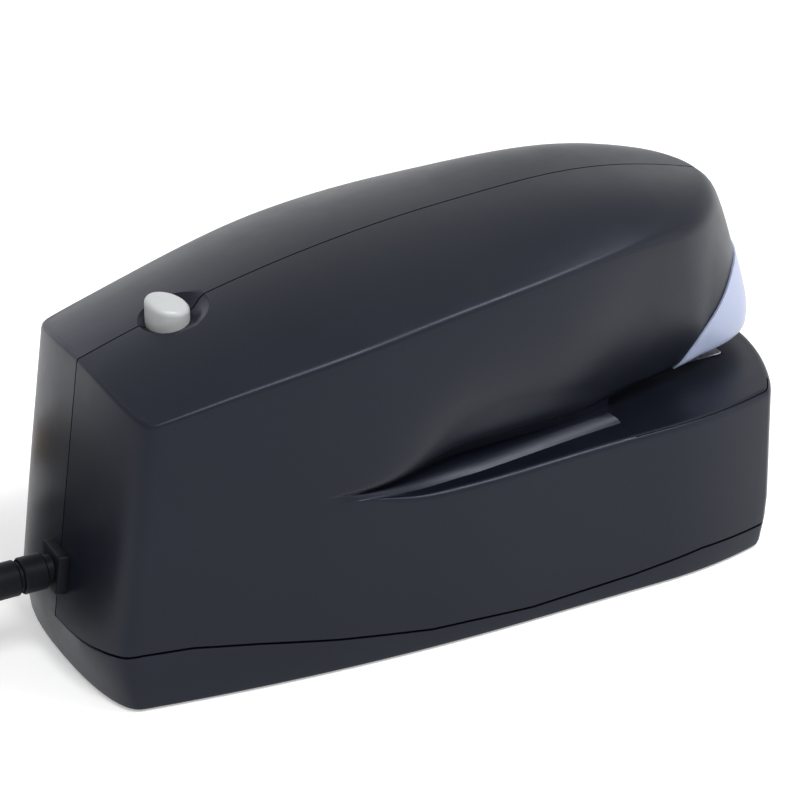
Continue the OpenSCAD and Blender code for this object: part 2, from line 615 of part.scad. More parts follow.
module plunger() color(steel) translate([solenoid_x, 0, 0]) rotate_extrude()
    polygon([[0, solenoid_z + 10], [plunger_r, solenoid_z + 10], [plunger_r, frame_top + 2],
        [2.2, frame_top + 3.5], [2.2, arm_rear_z - 0.9], [1.4, arm_rear_z - 0.3], [0, arm_rear_z - 0.3]]);

// ---- Staple magazine ----
module nose_cap() color(silver) union() {
    difference() {
        intersection() {
            form(-0.4);
            nose_region(0.25, underside);
        }
        intersection() {
            form(nose_wall - 0.4);
            nose_region(-9, underside + nose_wall);
        }
        block([blade_x0 - 0.2, -blade_half - 0.3, underside - 1],
            [blade_x0 + 0.9, blade_half + 0.3, underside + 3]);
    }
    // pads under the channel, and the block that the blade runs along
    block([nose_plane_x + 3.9, -channel_half + 1, underside + nose_wall - 0.3],
        [channel_x1, channel_half - 1, channel_z]);
    block([blade_x0 + 0.9, -channel_half, underside + nose_wall - 0.3],
        [blade_x0 + 5, channel_half, channel_top]);
    // gussets that brace the block
    for (s = [-1, 1], x = [blade_x0 + 1.6, blade_x0 + 3.5], t = [0, 1]) hull() {
        block([x, min(s * 7, s * 8), underside + nose_wall - 0.3],
            [x + 1.2, max(s * 7, s * 8), channel_top - 2 - 3 * t]);
        block([x, min(s * 7, s * (11 + t)), underside + nose_wall - 0.3],
            [x + 1.2, max(s * 7, s * (11 + t)), underside + nose_wall + 0.4]);
    }
}
module magazine_channel() color(steel) difference() {
    union() {
        block([channel_x0, -channel_half, channel_z], [channel_x1, channel_half, channel_top]);
        block([catch_x, channel_half - 0.5, channel_z + 4], [catch_x + 5, lever_y1 + 0.5, channel_top + 0.4]);
    }
    block([channel_x0 + channel_sheet, -channel_half + channel_sheet, channel_z + channel_sheet],
        [channel_x1 + 1, channel_half - channel_sheet, channel_top + 1]);
}
module staple_rail() color(steel) difference() {
    block([channel_x0 + channel_sheet, -rail_half, channel_z + channel_sheet],
        [channel_x1 - 0.1, rail_half, rail_top]);
    block([channel_x0 + 4, -rail_half + 1, channel_z + 2 * channel_sheet],
        [channel_x1 + 1, rail_half - 1, rail_top + 1]);
}
module staple_strip() color(steel) difference() {
    block([strip_x1 - strip_length, -staple_crown / 2, rail_top + 0.1 - staple_leg],
        [strip_x1, staple_crown / 2, rail_top + 0.7]);
    block([strip_x1 - strip_length - 1, -staple_crown / 2 + 0.5, rail_top - 9],
        [strip_x1 + 1, staple_crown / 2 - 0.5, rail_top + 0.1]);
}
pusher_x1 = strip_x1 - strip_length - 0.3;
module pusher() color(dark_grey) difference() {
    block([pusher_x1 - 8.5, -rail_half + 1.2, rail_z + 0.2], [pusher_x1, rail_half - 1.2, rail_top + 1.2]);
    bar_x(rod_r + fit_gap, pusher_x1 - 10, pusher_x1 + 1, 0, rod_z);
}
module pusher_rod() color(steel) bar_x(rod_r, channel_x0 + 4, strip_x1, 0, rod_z);
module pusher_spring() color(steel) translate([channel_x0 + 4.3, 0, rod_z]) rotate([0, 90, 0])
    coil_spring(2, 0.3, 8, pusher_x1 - 8.5 - channel_x0 - 4.3);

// ---- Trigger, switch and board ----
module trigger_lever() color(dark_grey) difference() {
    union() {
        side_plate([[trigger_x - 2.6, trigger_z - 1], [trigger_x + 2.6, trigger_z - 1],
            [trigger_x + 1.3, deck + 3.8], [trigger_x - 0.2, deck + 3.8], [trigger_x - 1.4, trigger_z + 5]],
            -trigger_half, trigger_half);
        bar_y(3.2, trigger_x, -trigger_half, trigger_half, trigger_z);
        block([trigger_x - 10, -trigger_half, trigger_z - 2.8], [trigger_x, trigger_half, trigger_z - 0.4]);
    }
    bar_y(trigger_pin_r + fit_gap, trigger_x, -9, 9, trigger_z);
}
module trigger_pin() color(steel) union() {
    bar_y(trigger_pin_r, trigger_x, -plate_in - chassis_sheet - 0.4, plate_in + chassis_sheet + 0.4, trigger_z);
    for (s = [-1, 1])
        bar_y(2.6, trigger_x, s > 0 ? trigger_half + 0.2 : -plate_in,
            s > 0 ? plate_in : -trigger_half - 0.2, trigger_z);
}
module microswitch() color(dark_grey) union() {
    block([trigger_x - 16, -3.2, board_z + board_sheet], [trigger_x - 4, 3.2, trigger_z - 6.4]);
    block([trigger_x - 10.6, -1.5, trigger_z - 7], [trigger_x - 8.6, 1.5, trigger_z - 5.1]);
}
module circuit_board() color(green)
    block([board_x0, -board_half, board_z], [board_x1, board_half, board_z + board_sheet]);
module board_parts() color(dark_grey) union() {
    top = board_z + board_sheet;
    edge = board_half - 1;
    // two capacitors, a relay, a transformer, three transistors, four resistors and a connector
    for (x = [10, 22]) bar_z(4.5, board_x0 + x, edge - 4, top, top + 14);
    block([board_x0 + 6, -edge, top], [board_x0 + 26, -edge + 7, top + 12]);
    block([board_x0 + 34, edge - 7, top], [board_x0 + 44, edge, top + 9]);
    for (x = [34, 42, 50]) block([board_x0 + x, 2 - edge, top], [board_x0 + x + 4, 6 - edge, top + 8]);
    for (x = [16, 24, 32, 40]) bar_y(1.4, board_x1 - x, edge - 7.5, edge - 1, top + 1.4);
    block([board_x1 - 30, 1 - edge, top], [board_x1 - 18, 7 - edge, top + 4]);
}
module terminal_block() color(light_grey) difference() {
    block([terminal_x, -7, terminal_z], [terminal_x + 8, 7, terminal_z + 8]);
    for (y = [-3.5, 3.5]) bar_z(1.6, terminal_x + 5.5, y, terminal_z + 5, terminal_z + 9);
    bar_x(cord_r, terminal_x - 1, terminal_x + 3, 0, relief_z);
}
module cord_clamp() color(dark_grey) difference() {
    block([terminal_x - 4, -8, terminal_z - 4], [terminal_x - 0.2, 8, relief_z + cord_r + 2]);
    bar_x(cord_r + 0.02, terminal_x - 5, terminal_x + 1, 0, relief_z);
}
module cord_tail() color(black) bar_x(cord_r, relief_in_x, terminal_x + 3, 0, relief_z);

// ---- Cord ----
module strain_relief() color(black) difference() {
    union() {
        translate([rear_face(relief_z + 2), 0, relief_z + 2]) rotate([0, atan(rear_slope), 0])
            translate([-2.6, -6.5, -6.5]) cube([2.55, 13, 13]);
        bar_x(relief_neck_r, relief_out_x, relief_in_x, 0, relief_z);
        bar_x(relief_r, rear_x - 8.8, rear_x - 1, 0, relief_z);
        for (i = [0 : 5])
            bar_x(relief_r - 0.15 * i, rear_x - 13.5 - 4.6 * i, rear_x - 9.4 - 4.6 * i, 0, relief_z);
    }
    bar_x(cord_r, relief_out_x - 1, relief_in_x + 1, 0, relief_z);
}
// The cord leaves the relief straight, sinks to the table along the coil's first turn, and lies in
// three layers: inwards, outwards and inwards again. Its plug lies on the coil.
cord_start = [[0, 0, 0], [-6, 0, -0.6], [-12, 0, -2.4], [-18, 0, -5.2]];
// From the end of the last turn to the plug, from the coil's centre and its top layer
cord_end = [[-7.5, 23.2, 5.4], [-2, 24.8, 7.3], [2, 25.8, 8.6], [5.6, 26, 9.1]];
coil_out = 46;
coil_pitch = 2 * cord_r + 0.05;
turns_in = 3.5;
turns_out = 2.5;
turns_last = 2.45;
coil_in = coil_out - turns_in * coil_pitch;
coil_upper = coil_in + turns_out * coil_pitch;
coil_x = relief_out_x - 18;
coil_y = coil_out;
coil_top = 2 * cord_r + 2 * coil_pitch;
sink = 0.28;
rise = 0.45;
module tube(points, r, sides) {
    n = len(points);
    rings = [for (i = [0 : n - 1])
        let (d = points[min(n - 1, i + 1)] - points[max(0, i - 1)], u = d / norm(d),
            side = cross([0, 0, 1], u) / norm(cross([0, 0, 1], u)), up = cross(u, side))
        for (k = [0 : sides - 1]) points[i] + r * (cos(360 * k / sides) * side + sin(360 * k / sides) * up)];
    walls = [for (i = [0 : n - 2], k = [0 : sides - 1])
        let (a = i * sides, b = a + sides, m = (k + 1) % sides)
        each [[a + k, b + k, b + m], [a + k, b + m, a + m]]];
    polyhedron(rings, concat(walls, [[for (k = [0 : sides - 1]) k],
        [for (k = [sides - 1 : -1 : 0]) (n - 1) * sides + k]]), convexity = 6);
}
// A point of the coil's centre line after some turns
function on_coil(turn, radius, z) =
    [coil_x + radius * cos(-90 - 360 * turn), coil_y + radius * sin(-90 - 360 * turn), z];
// Height while the cord sinks, u from 0 to 1
function sink_z(u) = (relief_z - 5.2) * (1 + 2 * u) * sq(1 - u) - 37 * u * sq(1 - u)
    + cord_r * sq(u) * (3 - 2 * u);
module cord() color(black) union() {
    tube(concat([for (p = cord_start) p + [relief_out_x, 0, relief_z]],
        [for (k = [1 : 10]) on_coil(sink * k / 10, coil_out - coil_pitch * sink * k / 10, sink_z(k / 10))]),
        cord_r, 10);
    tube(concat([for (k = [2 : 6])
            on_coil(turns_in + turns_out + turns_last - rise * (1 - k / 7),
                coil_upper - coil_pitch * (turns_last - rise * (1 - k / 7)),
                coil_top - cord_r + 5.4 * sq(k / 7))],
        [for (p = cord_end) p + [coil_x, coil_y, coil_top - cord_r]]), cord_r, 10);
}
module cord_coil() color(black) translate([coil_x, coil_y, 0]) rotate_extrude($fn = 60) polygon([
    [coil_in - cord_r, 0], [coil_out + cord_r, 0], [coil_out + cord_r, 2 * cord_r],
    [coil_upper + cord_r, 2 * cord_r + coil_pitch], [coil_upper + cord_r, coil_top], [coil_in - cord_r, coil_top]]);
tie_sheet = 1.4;
tie_in = coil_in - cord_r - 2;
tie_out = coil_out + cord_r + 2;
module cord_tie() color(black) translate([coil_x, coil_y, 0]) difference() {
    block([tie_in, -3, 0], [tie_out, 3, coil_top + tie_sheet + 0.2]);
    block([tie_in + tie_sheet, -4, -1], [tie_out - tie_sheet, 4, coil_top + 0.2]);
}
plug_x = coil_x + 6;
plug_y = coil_y + 26;
plug_z = coil_top + 0.05;
module plug_body() color(black) block([plug_x, plug_y - 12, plug_z], [plug_x + 34, plug_y + 12, plug_z + 12]);
module plug_pins() color(brass) for (y = [-6.35, 6.35])
    block([plug_x + 34, plug_y + y - 0.75, plug_z + 2.8], [plug_x + 51, plug_y + y + 0.75, plug_z + 9.2]);

main_housing();
near_cover();
nose_cap();
release_button();
anvil_plate();
strain_relief();
cord();
cord_coil();
cord_tie();
plug_body();
plug_pins();
feet();
housing_screws();
chassis_plates();
chassis_spacers();
chassis_screws();
arm_pivot_pin();
drive_arm();
hammer();
driver_blade();
driver_guide();
solenoid_frame();
solenoid_coil();
coil_bobbin();
plunger();
arm_spring();
magazine_channel();
staple_rail();
staple_strip();
pusher();
pusher_rod();
pusher_spring();
release_lever();
lever_stud();
latch_bracket();
button_spring();
trigger_lever();
trigger_pin();
microswitch();
circuit_board();
board_parts();
terminal_block();
cord_clamp();
cord_tail();
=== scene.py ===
"""Electric desk stapler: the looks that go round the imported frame."""
import math

import bmesh
import bpy
import numpy as np
from mathutils import Matrix, Vector


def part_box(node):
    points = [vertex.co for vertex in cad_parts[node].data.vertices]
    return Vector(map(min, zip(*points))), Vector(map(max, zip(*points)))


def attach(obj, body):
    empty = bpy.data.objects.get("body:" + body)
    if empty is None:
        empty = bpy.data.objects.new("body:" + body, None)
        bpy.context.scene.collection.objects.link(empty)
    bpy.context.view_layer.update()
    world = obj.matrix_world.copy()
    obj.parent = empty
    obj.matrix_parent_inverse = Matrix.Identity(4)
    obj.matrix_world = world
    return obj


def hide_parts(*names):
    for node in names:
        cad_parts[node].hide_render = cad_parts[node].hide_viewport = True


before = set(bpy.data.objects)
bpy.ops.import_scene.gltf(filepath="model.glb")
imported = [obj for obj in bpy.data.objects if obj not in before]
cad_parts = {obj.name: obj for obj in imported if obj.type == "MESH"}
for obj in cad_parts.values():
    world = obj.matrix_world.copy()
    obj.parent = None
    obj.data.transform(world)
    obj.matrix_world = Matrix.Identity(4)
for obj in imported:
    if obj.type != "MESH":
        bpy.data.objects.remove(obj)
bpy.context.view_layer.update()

MM = 0.001


# ---- The frame and the camera ----

def node_box(node):
    """Lowest and highest corner of a CAD node, in millimetres."""
    low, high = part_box(node)
    return np.array(low) / MM, np.array(high) / MM


def make_camera():
    """A long lens, a little above the housing and left of its near side."""
    turn, rise = math.radians(-28.44), math.radians(28.43)
    distance, field = 0.895, math.radians(12.47)
    target = Vector((-0.00198, 0.0, 0.0470))
    away = Vector((math.sin(turn) * math.cos(rise), -math.cos(turn) * math.cos(rise), math.sin(rise)))
    camera = bpy.data.objects.new("camera", bpy.data.cameras.new("camera"))
    camera.data.sensor_fit = "HORIZONTAL"
    camera.data.angle = field
    camera.location = target + distance * away
    camera.rotation_euler = away.to_track_quat("Z", "Y").to_euler()
    bpy.context.scene.collection.objects.link(camera)
    bpy.context.scene.camera = camera


make_camera()
scene = bpy.context.scene
scene.view_settings.view_transform = "Standard"


# ---- Node groups and materials ----

def new_group(name, inputs, outputs):
    """An empty shader group with number sockets."""
    tree = bpy.data.node_groups.new(name, "ShaderNodeTree")
    for label, value in inputs:
        socket = tree.interface.new_socket(name=label, in_out="INPUT", socket_type="NodeSocketFloat")
        socket.default_value = value
    for label in outputs:
        tree.interface.new_socket(name=label, in_out="OUTPUT", socket_type="NodeSocketFloat")
    return tree, tree.nodes.new("NodeGroupInput"), tree.nodes.new("NodeGroupOutput")


def math_node(tree, operation, first, second):
    """A Math node fed by sockets or numbers."""
    node = tree.nodes.new("ShaderNodeMath")
    node.operation = operation
    for socket, value in zip(node.inputs, (first, second)):
        if isinstance(value, (int, float)):
            socket.default_value = value
        else:
            tree.links.new(value, socket)
    return node.outputs[0]


def noise_node(tree, vector, scale, detail, roughness=0.5):
    """A noise texture; scale is a number or a socket."""
    node = tree.nodes.new("ShaderNodeTexNoise")
    node.inputs["Detail"].default_value = detail
    node.inputs["Roughness"].default_value = roughness
    tree.links.new(vector, node.inputs["Vector"])
    if isinstance(scale, (int, float)):
        node.inputs["Scale"].default_value = scale
    else:
        tree.links.new(scale, node.inputs["Scale"])
    return node.outputs["Fac"]


def spread(tree, value, low, high):
    """Stretch a value between low and high to the range 0 to 1."""
    node = tree.nodes.new("ShaderNodeMapRange")
    node.inputs["From Min"].default_value = low
    node.inputs["From Max"].default_value = high
    tree.links.new(value, node.inputs["Value"])
    return node.outputs["Result"]


def make_grain_group():
    """Fine moulded texture: a height, and small lighter specks."""
    tree, inside, outside = new_group("moulded_grain", [("Scale", 1500.0)], ["Height", "Specks"])
    place = tree.nodes.new("ShaderNodeTexCoord").outputs["Object"]
    coarse = noise_node(tree, place, inside.outputs["Scale"], 3.0, 0.6)
    fine = noise_node(tree, place, math_node(tree, "MULTIPLY", inside.outputs["Scale"], 2.7), 1.0)
    height = math_node(tree, "ADD", coarse, math_node(tree, "MULTIPLY", fine, 0.5))
    tree.links.new(height, outside.inputs["Height"])
    tree.links.new(spread(tree, fine, 0.45, 0.75), outside.inputs["Specks"])
    return tree


def make_mottle_group():
    """Slow changes over a surface: handling marks and uneven gloss."""
    tree, inside, outside = new_group("slow_mottle", [("Scale", 30.0)], ["Patches", "Smears"])
    place = tree.nodes.new("ShaderNodeTexCoord").outputs["Object"]
    patches = noise_node(tree, place, inside.outputs["Scale"], 2.0)
    smears = noise_node(tree, place, math_node(tree, "MULTIPLY", inside.outputs["Scale"], 4.0), 5.0, 0.65)
    tree.links.new(spread(tree, patches, 0.3, 0.7), outside.inputs["Patches"])
    tree.links.new(spread(tree, smears, 0.35, 0.7), outside.inputs["Smears"])
    return tree


def make_brush_group():
    """Drawn or brushed metal: streaks along X, narrow across."""
    tree, inside, outside = new_group("drawn_streaks", [("Along", 60.0), ("Across", 2400.0)],
                                      ["Height", "Streaks"])
    place = tree.nodes.new("ShaderNodeTexCoord").outputs["Object"]
    stretch = tree.nodes.new("ShaderNodeCombineXYZ")
    tree.links.new(inside.outputs["Along"], stretch.inputs["X"])
    tree.links.new(inside.outputs["Across"], stretch.inputs["Y"])
    tree.links.new(inside.outputs["Across"], stretch.inputs["Z"])
    product = tree.nodes.new("ShaderNodeVectorMath")
    product.operation = "MULTIPLY"
    tree.links.new(place, product.inputs[0])
    tree.links.new(stretch.outputs[0], product.inputs[1])
    streaks = noise_node(tree, product.outputs[0], 1.0, 3.0, 0.6)
    tree.links.new(streaks, outside.inputs["Height"])
    tree.links.new(spread(tree, streaks, 0.3, 0.7), outside.inputs["Streaks"])
    return tree


GRAIN, MOTTLE, BRUSH = make_grain_group(), make_mottle_group(), make_brush_group()


def srgb(*levels):
    """A colour given by its 0 to 255 display levels, as linear light."""
    shares = [level / 255 for level in levels]
    return tuple(v / 12.92 if v <= 0.04045 else ((v + 0.055) / 1.055) ** 2.4 for v in shares)


class Finish:
    """A material under construction: one Principled shader and what feeds it."""

    def __init__(self, name, **sockets):
        self.material = bpy.data.materials.new(name)
        self.material.use_nodes = True
        self.tree = self.material.node_tree
        self.shader = self.tree.nodes["Principled BSDF"]
        for label, value in sockets.items():
            self.shader.inputs[label.replace("_", " ")].default_value = value

    def group(self, tree, **values):
        """Place a node group with its own values."""
        node = self.tree.nodes.new("ShaderNodeGroup")
        node.node_tree = tree
        for label, value in values.items():
            node.inputs[label].default_value = value
        return node.outputs

    def colour(self, first, second, factor):
        """Base colour between two colours."""
        mix = self.tree.nodes.new("ShaderNodeMix")
        mix.data_type = "RGBA"
        mix.inputs["A"].default_value = (*first, 1)
        mix.inputs["B"].default_value = (*second, 1)
        self.tree.links.new(factor, mix.inputs["Factor"])
        self.tree.links.new(mix.outputs["Result"], self.shader.inputs["Base Color"])

    def roughness(self, low, high, factor):
        """Roughness between low and high."""
        node = self.tree.nodes.new("ShaderNodeMapRange")
        node.inputs["To Min"].default_value = low
        node.inputs["To Max"].default_value = high
        self.tree.links.new(factor, node.inputs["Value"])
        self.tree.links.new(node.outputs["Result"], self.shader.inputs["Roughness"])

    def bump(self, height, distance, strength=1.0):
        """Relief, distance in metres."""
        node = self.tree.nodes.new("ShaderNodeBump")
        node.inputs["Distance"].default_value = distance
        node.inputs["Strength"].default_value = strength
        self.tree.links.new(height, node.inputs["Height"])
        self.tree.links.new(node.outputs["Normal"], self.shader.inputs["Normal"])


def plastic(name, dark, light, rough, grain_scale, grain_depth, **sockets):
    """Moulded plastic with grain, a slow mottle and uneven gloss."""
    finish = Finish(name, **sockets)
    grain = finish.group(GRAIN, Scale=grain_scale)
    mottle = finish.group(MOTTLE, Scale=26.0)
    finish.colour(dark, light, math_node(finish.tree, "MULTIPLY", grain["Specks"], mottle["Patches"]))
    finish.roughness(rough[0], rough[1], mottle["Smears"])
    finish.bump(grain["Height"], grain_depth)
    return finish.material


def metal(name, dark, light, rough, along, across, depth, **sockets):
    """Drawn, rolled or plated metal."""
    finish = Finish(name, Metallic=1.0, **sockets)
    brush = finish.group(BRUSH, Along=along, Across=across)
    mottle = finish.group(MOTTLE, Scale=60.0)
    finish.colour(dark, light, math_node(finish.tree, "MULTIPLY", brush["Streaks"], mottle["Smears"]))
    finish.roughness(rough[0], rough[1], mottle["Smears"])
    finish.bump(brush["Height"], depth)
    return finish.material


def wound(name, dark, light, pitch, axis, rough, depth, metallic=0.0):
    """Close turns of wire, or a strip of staples: ridges across an axis, with painted shade in the gaps
    between them.
    """
    finish = Finish(name, Metallic=metallic)
    place = finish.tree.nodes.new("ShaderNodeTexCoord").outputs["Object"]
    wave = finish.tree.nodes.new("ShaderNodeTexWave")
    wave.bands_direction = axis
    wave.wave_profile = "SIN"
    wave.inputs["Scale"].default_value = math.pi / 10 / pitch  # one ridge for each pitch, in metres
    wave.inputs["Distortion"].default_value = 0.05
    finish.tree.links.new(place, wave.inputs["Vector"])
    mottle = finish.group(MOTTLE, Scale=90.0)
    # Painted shade: the colour follows the ridges, darker in the gaps between turns and lighter on their
    # crests.
    finish.colour(dark, light, wave.outputs["Fac"])
    finish.roughness(rough[0], rough[1], mottle["Smears"])
    finish.bump(wave.outputs["Fac"], depth)
    return finish.material


HOUSING = plastic("housing_black", srgb(11, 13, 22), srgb(19, 22, 33), (0.33, 0.38), 1500.0, 0.000014,
                  Specular_IOR_Level=0.26, Specular_Tint=(0.78, 0.84, 1.0, 1))
NOSE = plastic("nose_silver", srgb(152, 161, 188), srgb(163, 172, 198), (0.34, 0.42), 2600.0, 0.000006)
BUTTON = plastic("button_grey", srgb(165, 168, 168), srgb(182, 185, 185), (0.3, 0.38), 2200.0, 0.000006)
CORD_SKIN = plastic("cord_black", srgb(8, 9, 14), srgb(18, 20, 26), (0.42, 0.52), 1100.0, 0.00002,
                    Specular_IOR_Level=0.12)
PLUG = plastic("plug_black", srgb(24, 25, 28), srgb(38, 39, 44), (0.45, 0.55), 1300.0, 0.00002)
RUBBER = plastic("foot_rubber", srgb(24, 24, 25), srgb(44, 44, 46), (0.7, 0.85), 900.0, 0.00004)
INNER = plastic("inner_plastic", srgb(48, 49, 52), srgb(66, 67, 71), (0.45, 0.6), 1400.0, 0.00002)
TERMINAL = plastic("terminal_white", srgb(198, 199, 194), srgb(214, 215, 210), (0.4, 0.5), 1600.0, 0.00001)
BOARD = plastic("board_green", srgb(22, 74, 40), srgb(34, 98, 54), (0.35, 0.5), 800.0, 0.00001)
BRIGHT = metal("bright_steel", srgb(168, 170, 174), srgb(205, 207, 210), (0.22, 0.36), 60.0, 2400.0, 0.000004)
SHEET = metal("zinc_sheet", srgb(150, 152, 154), srgb(196, 197, 196), (0.34, 0.5), 40.0, 900.0, 0.000006)
FASTENER = metal("screw_steel", srgb(120, 122, 126), srgb(176, 178, 181), (0.25, 0.4), 300.0, 900.0, 0.000004)
SPRING = metal("spring_wire", srgb(150, 152, 156), srgb(196, 198, 200), (0.25, 0.38), 600.0, 1600.0, 0.000003)
BRASS = metal("plug_brass", srgb(186, 150, 84), srgb(216, 186, 118), (0.22, 0.34), 60.0, 1400.0, 0.000003)
# The dark colour of the winding and of the staple strip is painted shade in the gaps between turns.
WINDING = wound("coil_winding", srgb(120, 58, 30), srgb(196, 112, 62), 0.0005, "Z", (0.25, 0.4), 0.0001, 0.7)
STAPLES = wound("staple_strip", srgb(140, 142, 146), srgb(206, 208, 210), 0.0006, "X", (0.22, 0.34),
                0.00012, 1.0)


# ---- Floor, room and lamps ----

FLOOR_HALF, FLOOR_GLOW = 3.0, 0.34
ROOM_LIGHT, ROOM_SEEN = 0.72, 1.0
LAMP_AIM = Vector((0, 0, 0.05))


def seen_mask(tree):
    """1 for what is seen, straight, in a reflection or through glass; 0 for what only lights."""
    ray = tree.nodes.new("ShaderNodeLightPath")
    passed_on = math_node(tree, "MAXIMUM", ray.outputs["Is Glossy Ray"], ray.outputs["Is Transmission Ray"])
    return math_node(tree, "MAXIMUM", ray.outputs["Is Camera Ray"], passed_on)


def make_floor():
    """A white table top that keeps a soft shadow."""
    mesh = bpy.data.meshes.new("floor")
    corners = [(x * FLOOR_HALF, y * FLOOR_HALF, 0) for x, y in ((-1, -1), (1, -1), (1, 1), (-1, 1))]
    mesh.from_pydata(corners, [], [(0, 1, 2, 3)])
    floor = bpy.data.objects.new("floor", mesh)
    scene.collection.objects.link(floor)
    finish = Finish("floor_white", Base_Color=(0.8, 0.8, 0.8, 1), Roughness=0.9)
    tree = finish.tree
    emission = tree.nodes.new("ShaderNodeEmission")
    tree.links.new(math_node(tree, "MULTIPLY", seen_mask(tree), FLOOR_GLOW), emission.inputs["Strength"])
    total = tree.nodes.new("ShaderNodeAddShader")
    tree.links.new(finish.shader.outputs[0], total.inputs[0])
    tree.links.new(emission.outputs[0], total.inputs[1])
    tree.links.new(total.outputs[0], tree.nodes["Material Output"].inputs["Surface"])
    mesh.materials.append(finish.material)


def make_world():
    """A white room: full white where it is seen, softer where it lights."""
    world = bpy.data.worlds.new("white_room")
    world.use_nodes = True
    tree = world.node_tree
    level = tree.nodes.new("ShaderNodeMapRange")
    level.inputs["To Min"].default_value = ROOM_LIGHT
    level.inputs["To Max"].default_value = ROOM_SEEN
    tree.links.new(seen_mask(tree), level.inputs["Value"])
    background = tree.nodes["Background"]
    background.inputs["Color"].default_value = (1, 1, 1, 1)
    tree.links.new(level.outputs["Result"], background.inputs["Strength"])
    scene.world = world


def make_lamp(name, place, size, power, colour=(1, 1, 1)):
    """A soft square lamp that looks at the housing."""
    lamp = bpy.data.objects.new(name, bpy.data.lights.new(name, "AREA"))
    lamp.data.shape = "SQUARE"
    lamp.data.size = size
    lamp.data.energy = power
    lamp.data.color = colour
    lamp.location = place
    lamp.rotation_euler = (Vector(place) - LAMP_AIM).to_track_quat("Z", "Y").to_euler()
    scene.collection.objects.link(lamp)


make_floor()
make_world()
make_lamp("lamp_front", (0.44, -0.38, 0.88), 0.26, 4.6)
make_lamp("lamp_crease", (-0.04, -0.56, 0.86), 0.24, 4.2)
make_lamp("lamp_right", (1.0, -0.75, 0.3), 0.7, 1.6)
make_lamp("lamp_back", (-0.3, 1.1, 0.5), 0.8, 1.6, (0.72, 0.76, 1.0))


# ---- Shared shapes, in millimetres ----

def new_object(name, points, faces):
    """A mesh object that still has to be finished."""
    mesh = bpy.data.meshes.new(name)
    mesh.from_pydata([tuple(map(float, p)) for p in points], [], [tuple(map(int, f)) for f in faces])
    piece = bpy.data.objects.new(name, mesh)
    scene.collection.objects.link(piece)
    return piece


def block(low, high):
    """A box between two corners, for cutting or joining."""
    (x0, y0, z0), (x1, y1, z1) = low, high
    points = [(x, y, z) for z in (z0, z1) for y in (y0, y1) for x in (x0, x1)]
    faces = [(0, 2, 3, 1), (4, 5, 7, 6), (0, 1, 5, 4), (2, 6, 7, 3), (0, 4, 6, 2), (1, 3, 7, 5)]
    return new_object("block", points, faces)


def loft(rings, name="loft"):
    """A closed skin over rings with the same number of points, capped at both ends."""
    n = len(rings[0])
    points = [p for ring in rings for p in ring]
    faces = [(r * n + i, r * n + (i + 1) % n, (r + 1) * n + (i + 1) % n, (r + 1) * n + i)
             for r in range(len(rings) - 1) for i in range(n)]
    faces += [tuple(range(n - 1, -1, -1)), tuple(range((len(rings) - 1) * n, len(rings) * n))]
    return new_object(name, points, faces)


def prism(outline, y0, y1):
    """A plate with a side outline of (x, z) points."""
    turn = sum(a[0] * b[1] - b[0] * a[1] for a, b in zip(outline, outline[1:] + outline[:1]))
    outline = outline[::-1] if turn > 0 else outline
    return loft([[(x, y0, z) for x, z in outline], [(x, y1, z) for x, z in outline]])


def turned(profile, place, axis="Z", sides=64, name="turned"):
    """A turned solid from (radius, height) points; it starts and ends on its axis."""
    rings = []
    for radius, height in profile:
        ring = []
        for k in range(sides):
            a = 2 * math.pi * k / sides
            u, v = max(radius, 0.001) * math.cos(a), max(radius, 0.001) * math.sin(a)
            ring.append({"Z": (u, v, height), "X": (height, u, v), "Y": (v, height, u)}[axis])
        rings.append([tuple(np.add(p, place)) for p in ring])
    return loft(rings, name)


def bar(radius, start, end, place, axis="Z", sides=48):
    """A plain round bar for cutting or joining."""
    return turned([(radius, start), (radius, end)], place, axis, sides)


def combine(piece, other, operation):
    """Join or cut two closed solids and keep the result in the first."""
    step = piece.modifiers.new(operation, "BOOLEAN")
    step.operation = operation
    step.solver = "MANIFOLD"
    step.object = other
    graph = bpy.context.evaluated_depsgraph_get()
    result = bpy.data.meshes.new_from_object(piece.evaluated_get(graph))
    piece.modifiers.clear()
    piece.data = result
    bpy.data.objects.remove(other)
    return piece


def cut(piece, *others):
    """Take the other solids out of a piece."""
    for other in others:
        combine(piece, other, "DIFFERENCE")
    return piece


def join(piece, *others):
    """Add the other solids to a piece."""
    for other in others:
        combine(piece, other, "UNION")
    return piece


def keep(piece, other):
    """Keep only what lies inside the other solid."""
    return combine(piece, other, "INTERSECT")


def copy(piece):
    """A second piece of the same shape."""
    double = piece.copy()
    double.data = piece.data.copy()
    scene.collection.objects.link(double)
    return double


def finish_piece(piece, name, body, slot, material, *nodes, sharp=32):
    """Scale to metres, shade, colour and put a piece on its body."""
    piece.name = name
    piece.data.name = name
    piece.data.transform(Matrix.Scale(MM, 4))
    piece.data.shade_smooth()
    piece.data.set_sharp_from_angle(angle=math.radians(sharp))
    piece.data.materials.clear()
    piece.data.materials.append(material)
    for polygon in piece.data.polygons:
        polygon.material_index = 0
    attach(piece, body)
    if nodes:
        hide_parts(*nodes)
    return piece


# ---- The mains lead ----

CORD_R = 3.1
RELIEF_Z = 26.0
EXIT = np.array([node_box("strain_relief")[0][0], 0.0, RELIEF_Z])
# The coil: turns in each of its three layers, its outer radius and the step from turn to turn
TURNS_IN, TURNS_OUT, TURNS_LAST = 3.5, 2.5, 2.45
COIL_OUT, COIL_TURN = 46.0, 2 * CORD_R + 0.05
# Shares of a turn over which the lead sinks to the table, changes layers and rises to the plug
SINK, LAYER_RUN, RISE = 0.28, 0.6, 0.45
SINK_STEEPNESS, PLUG_RISE, TURN_STEPS = 37, 5.4, 20
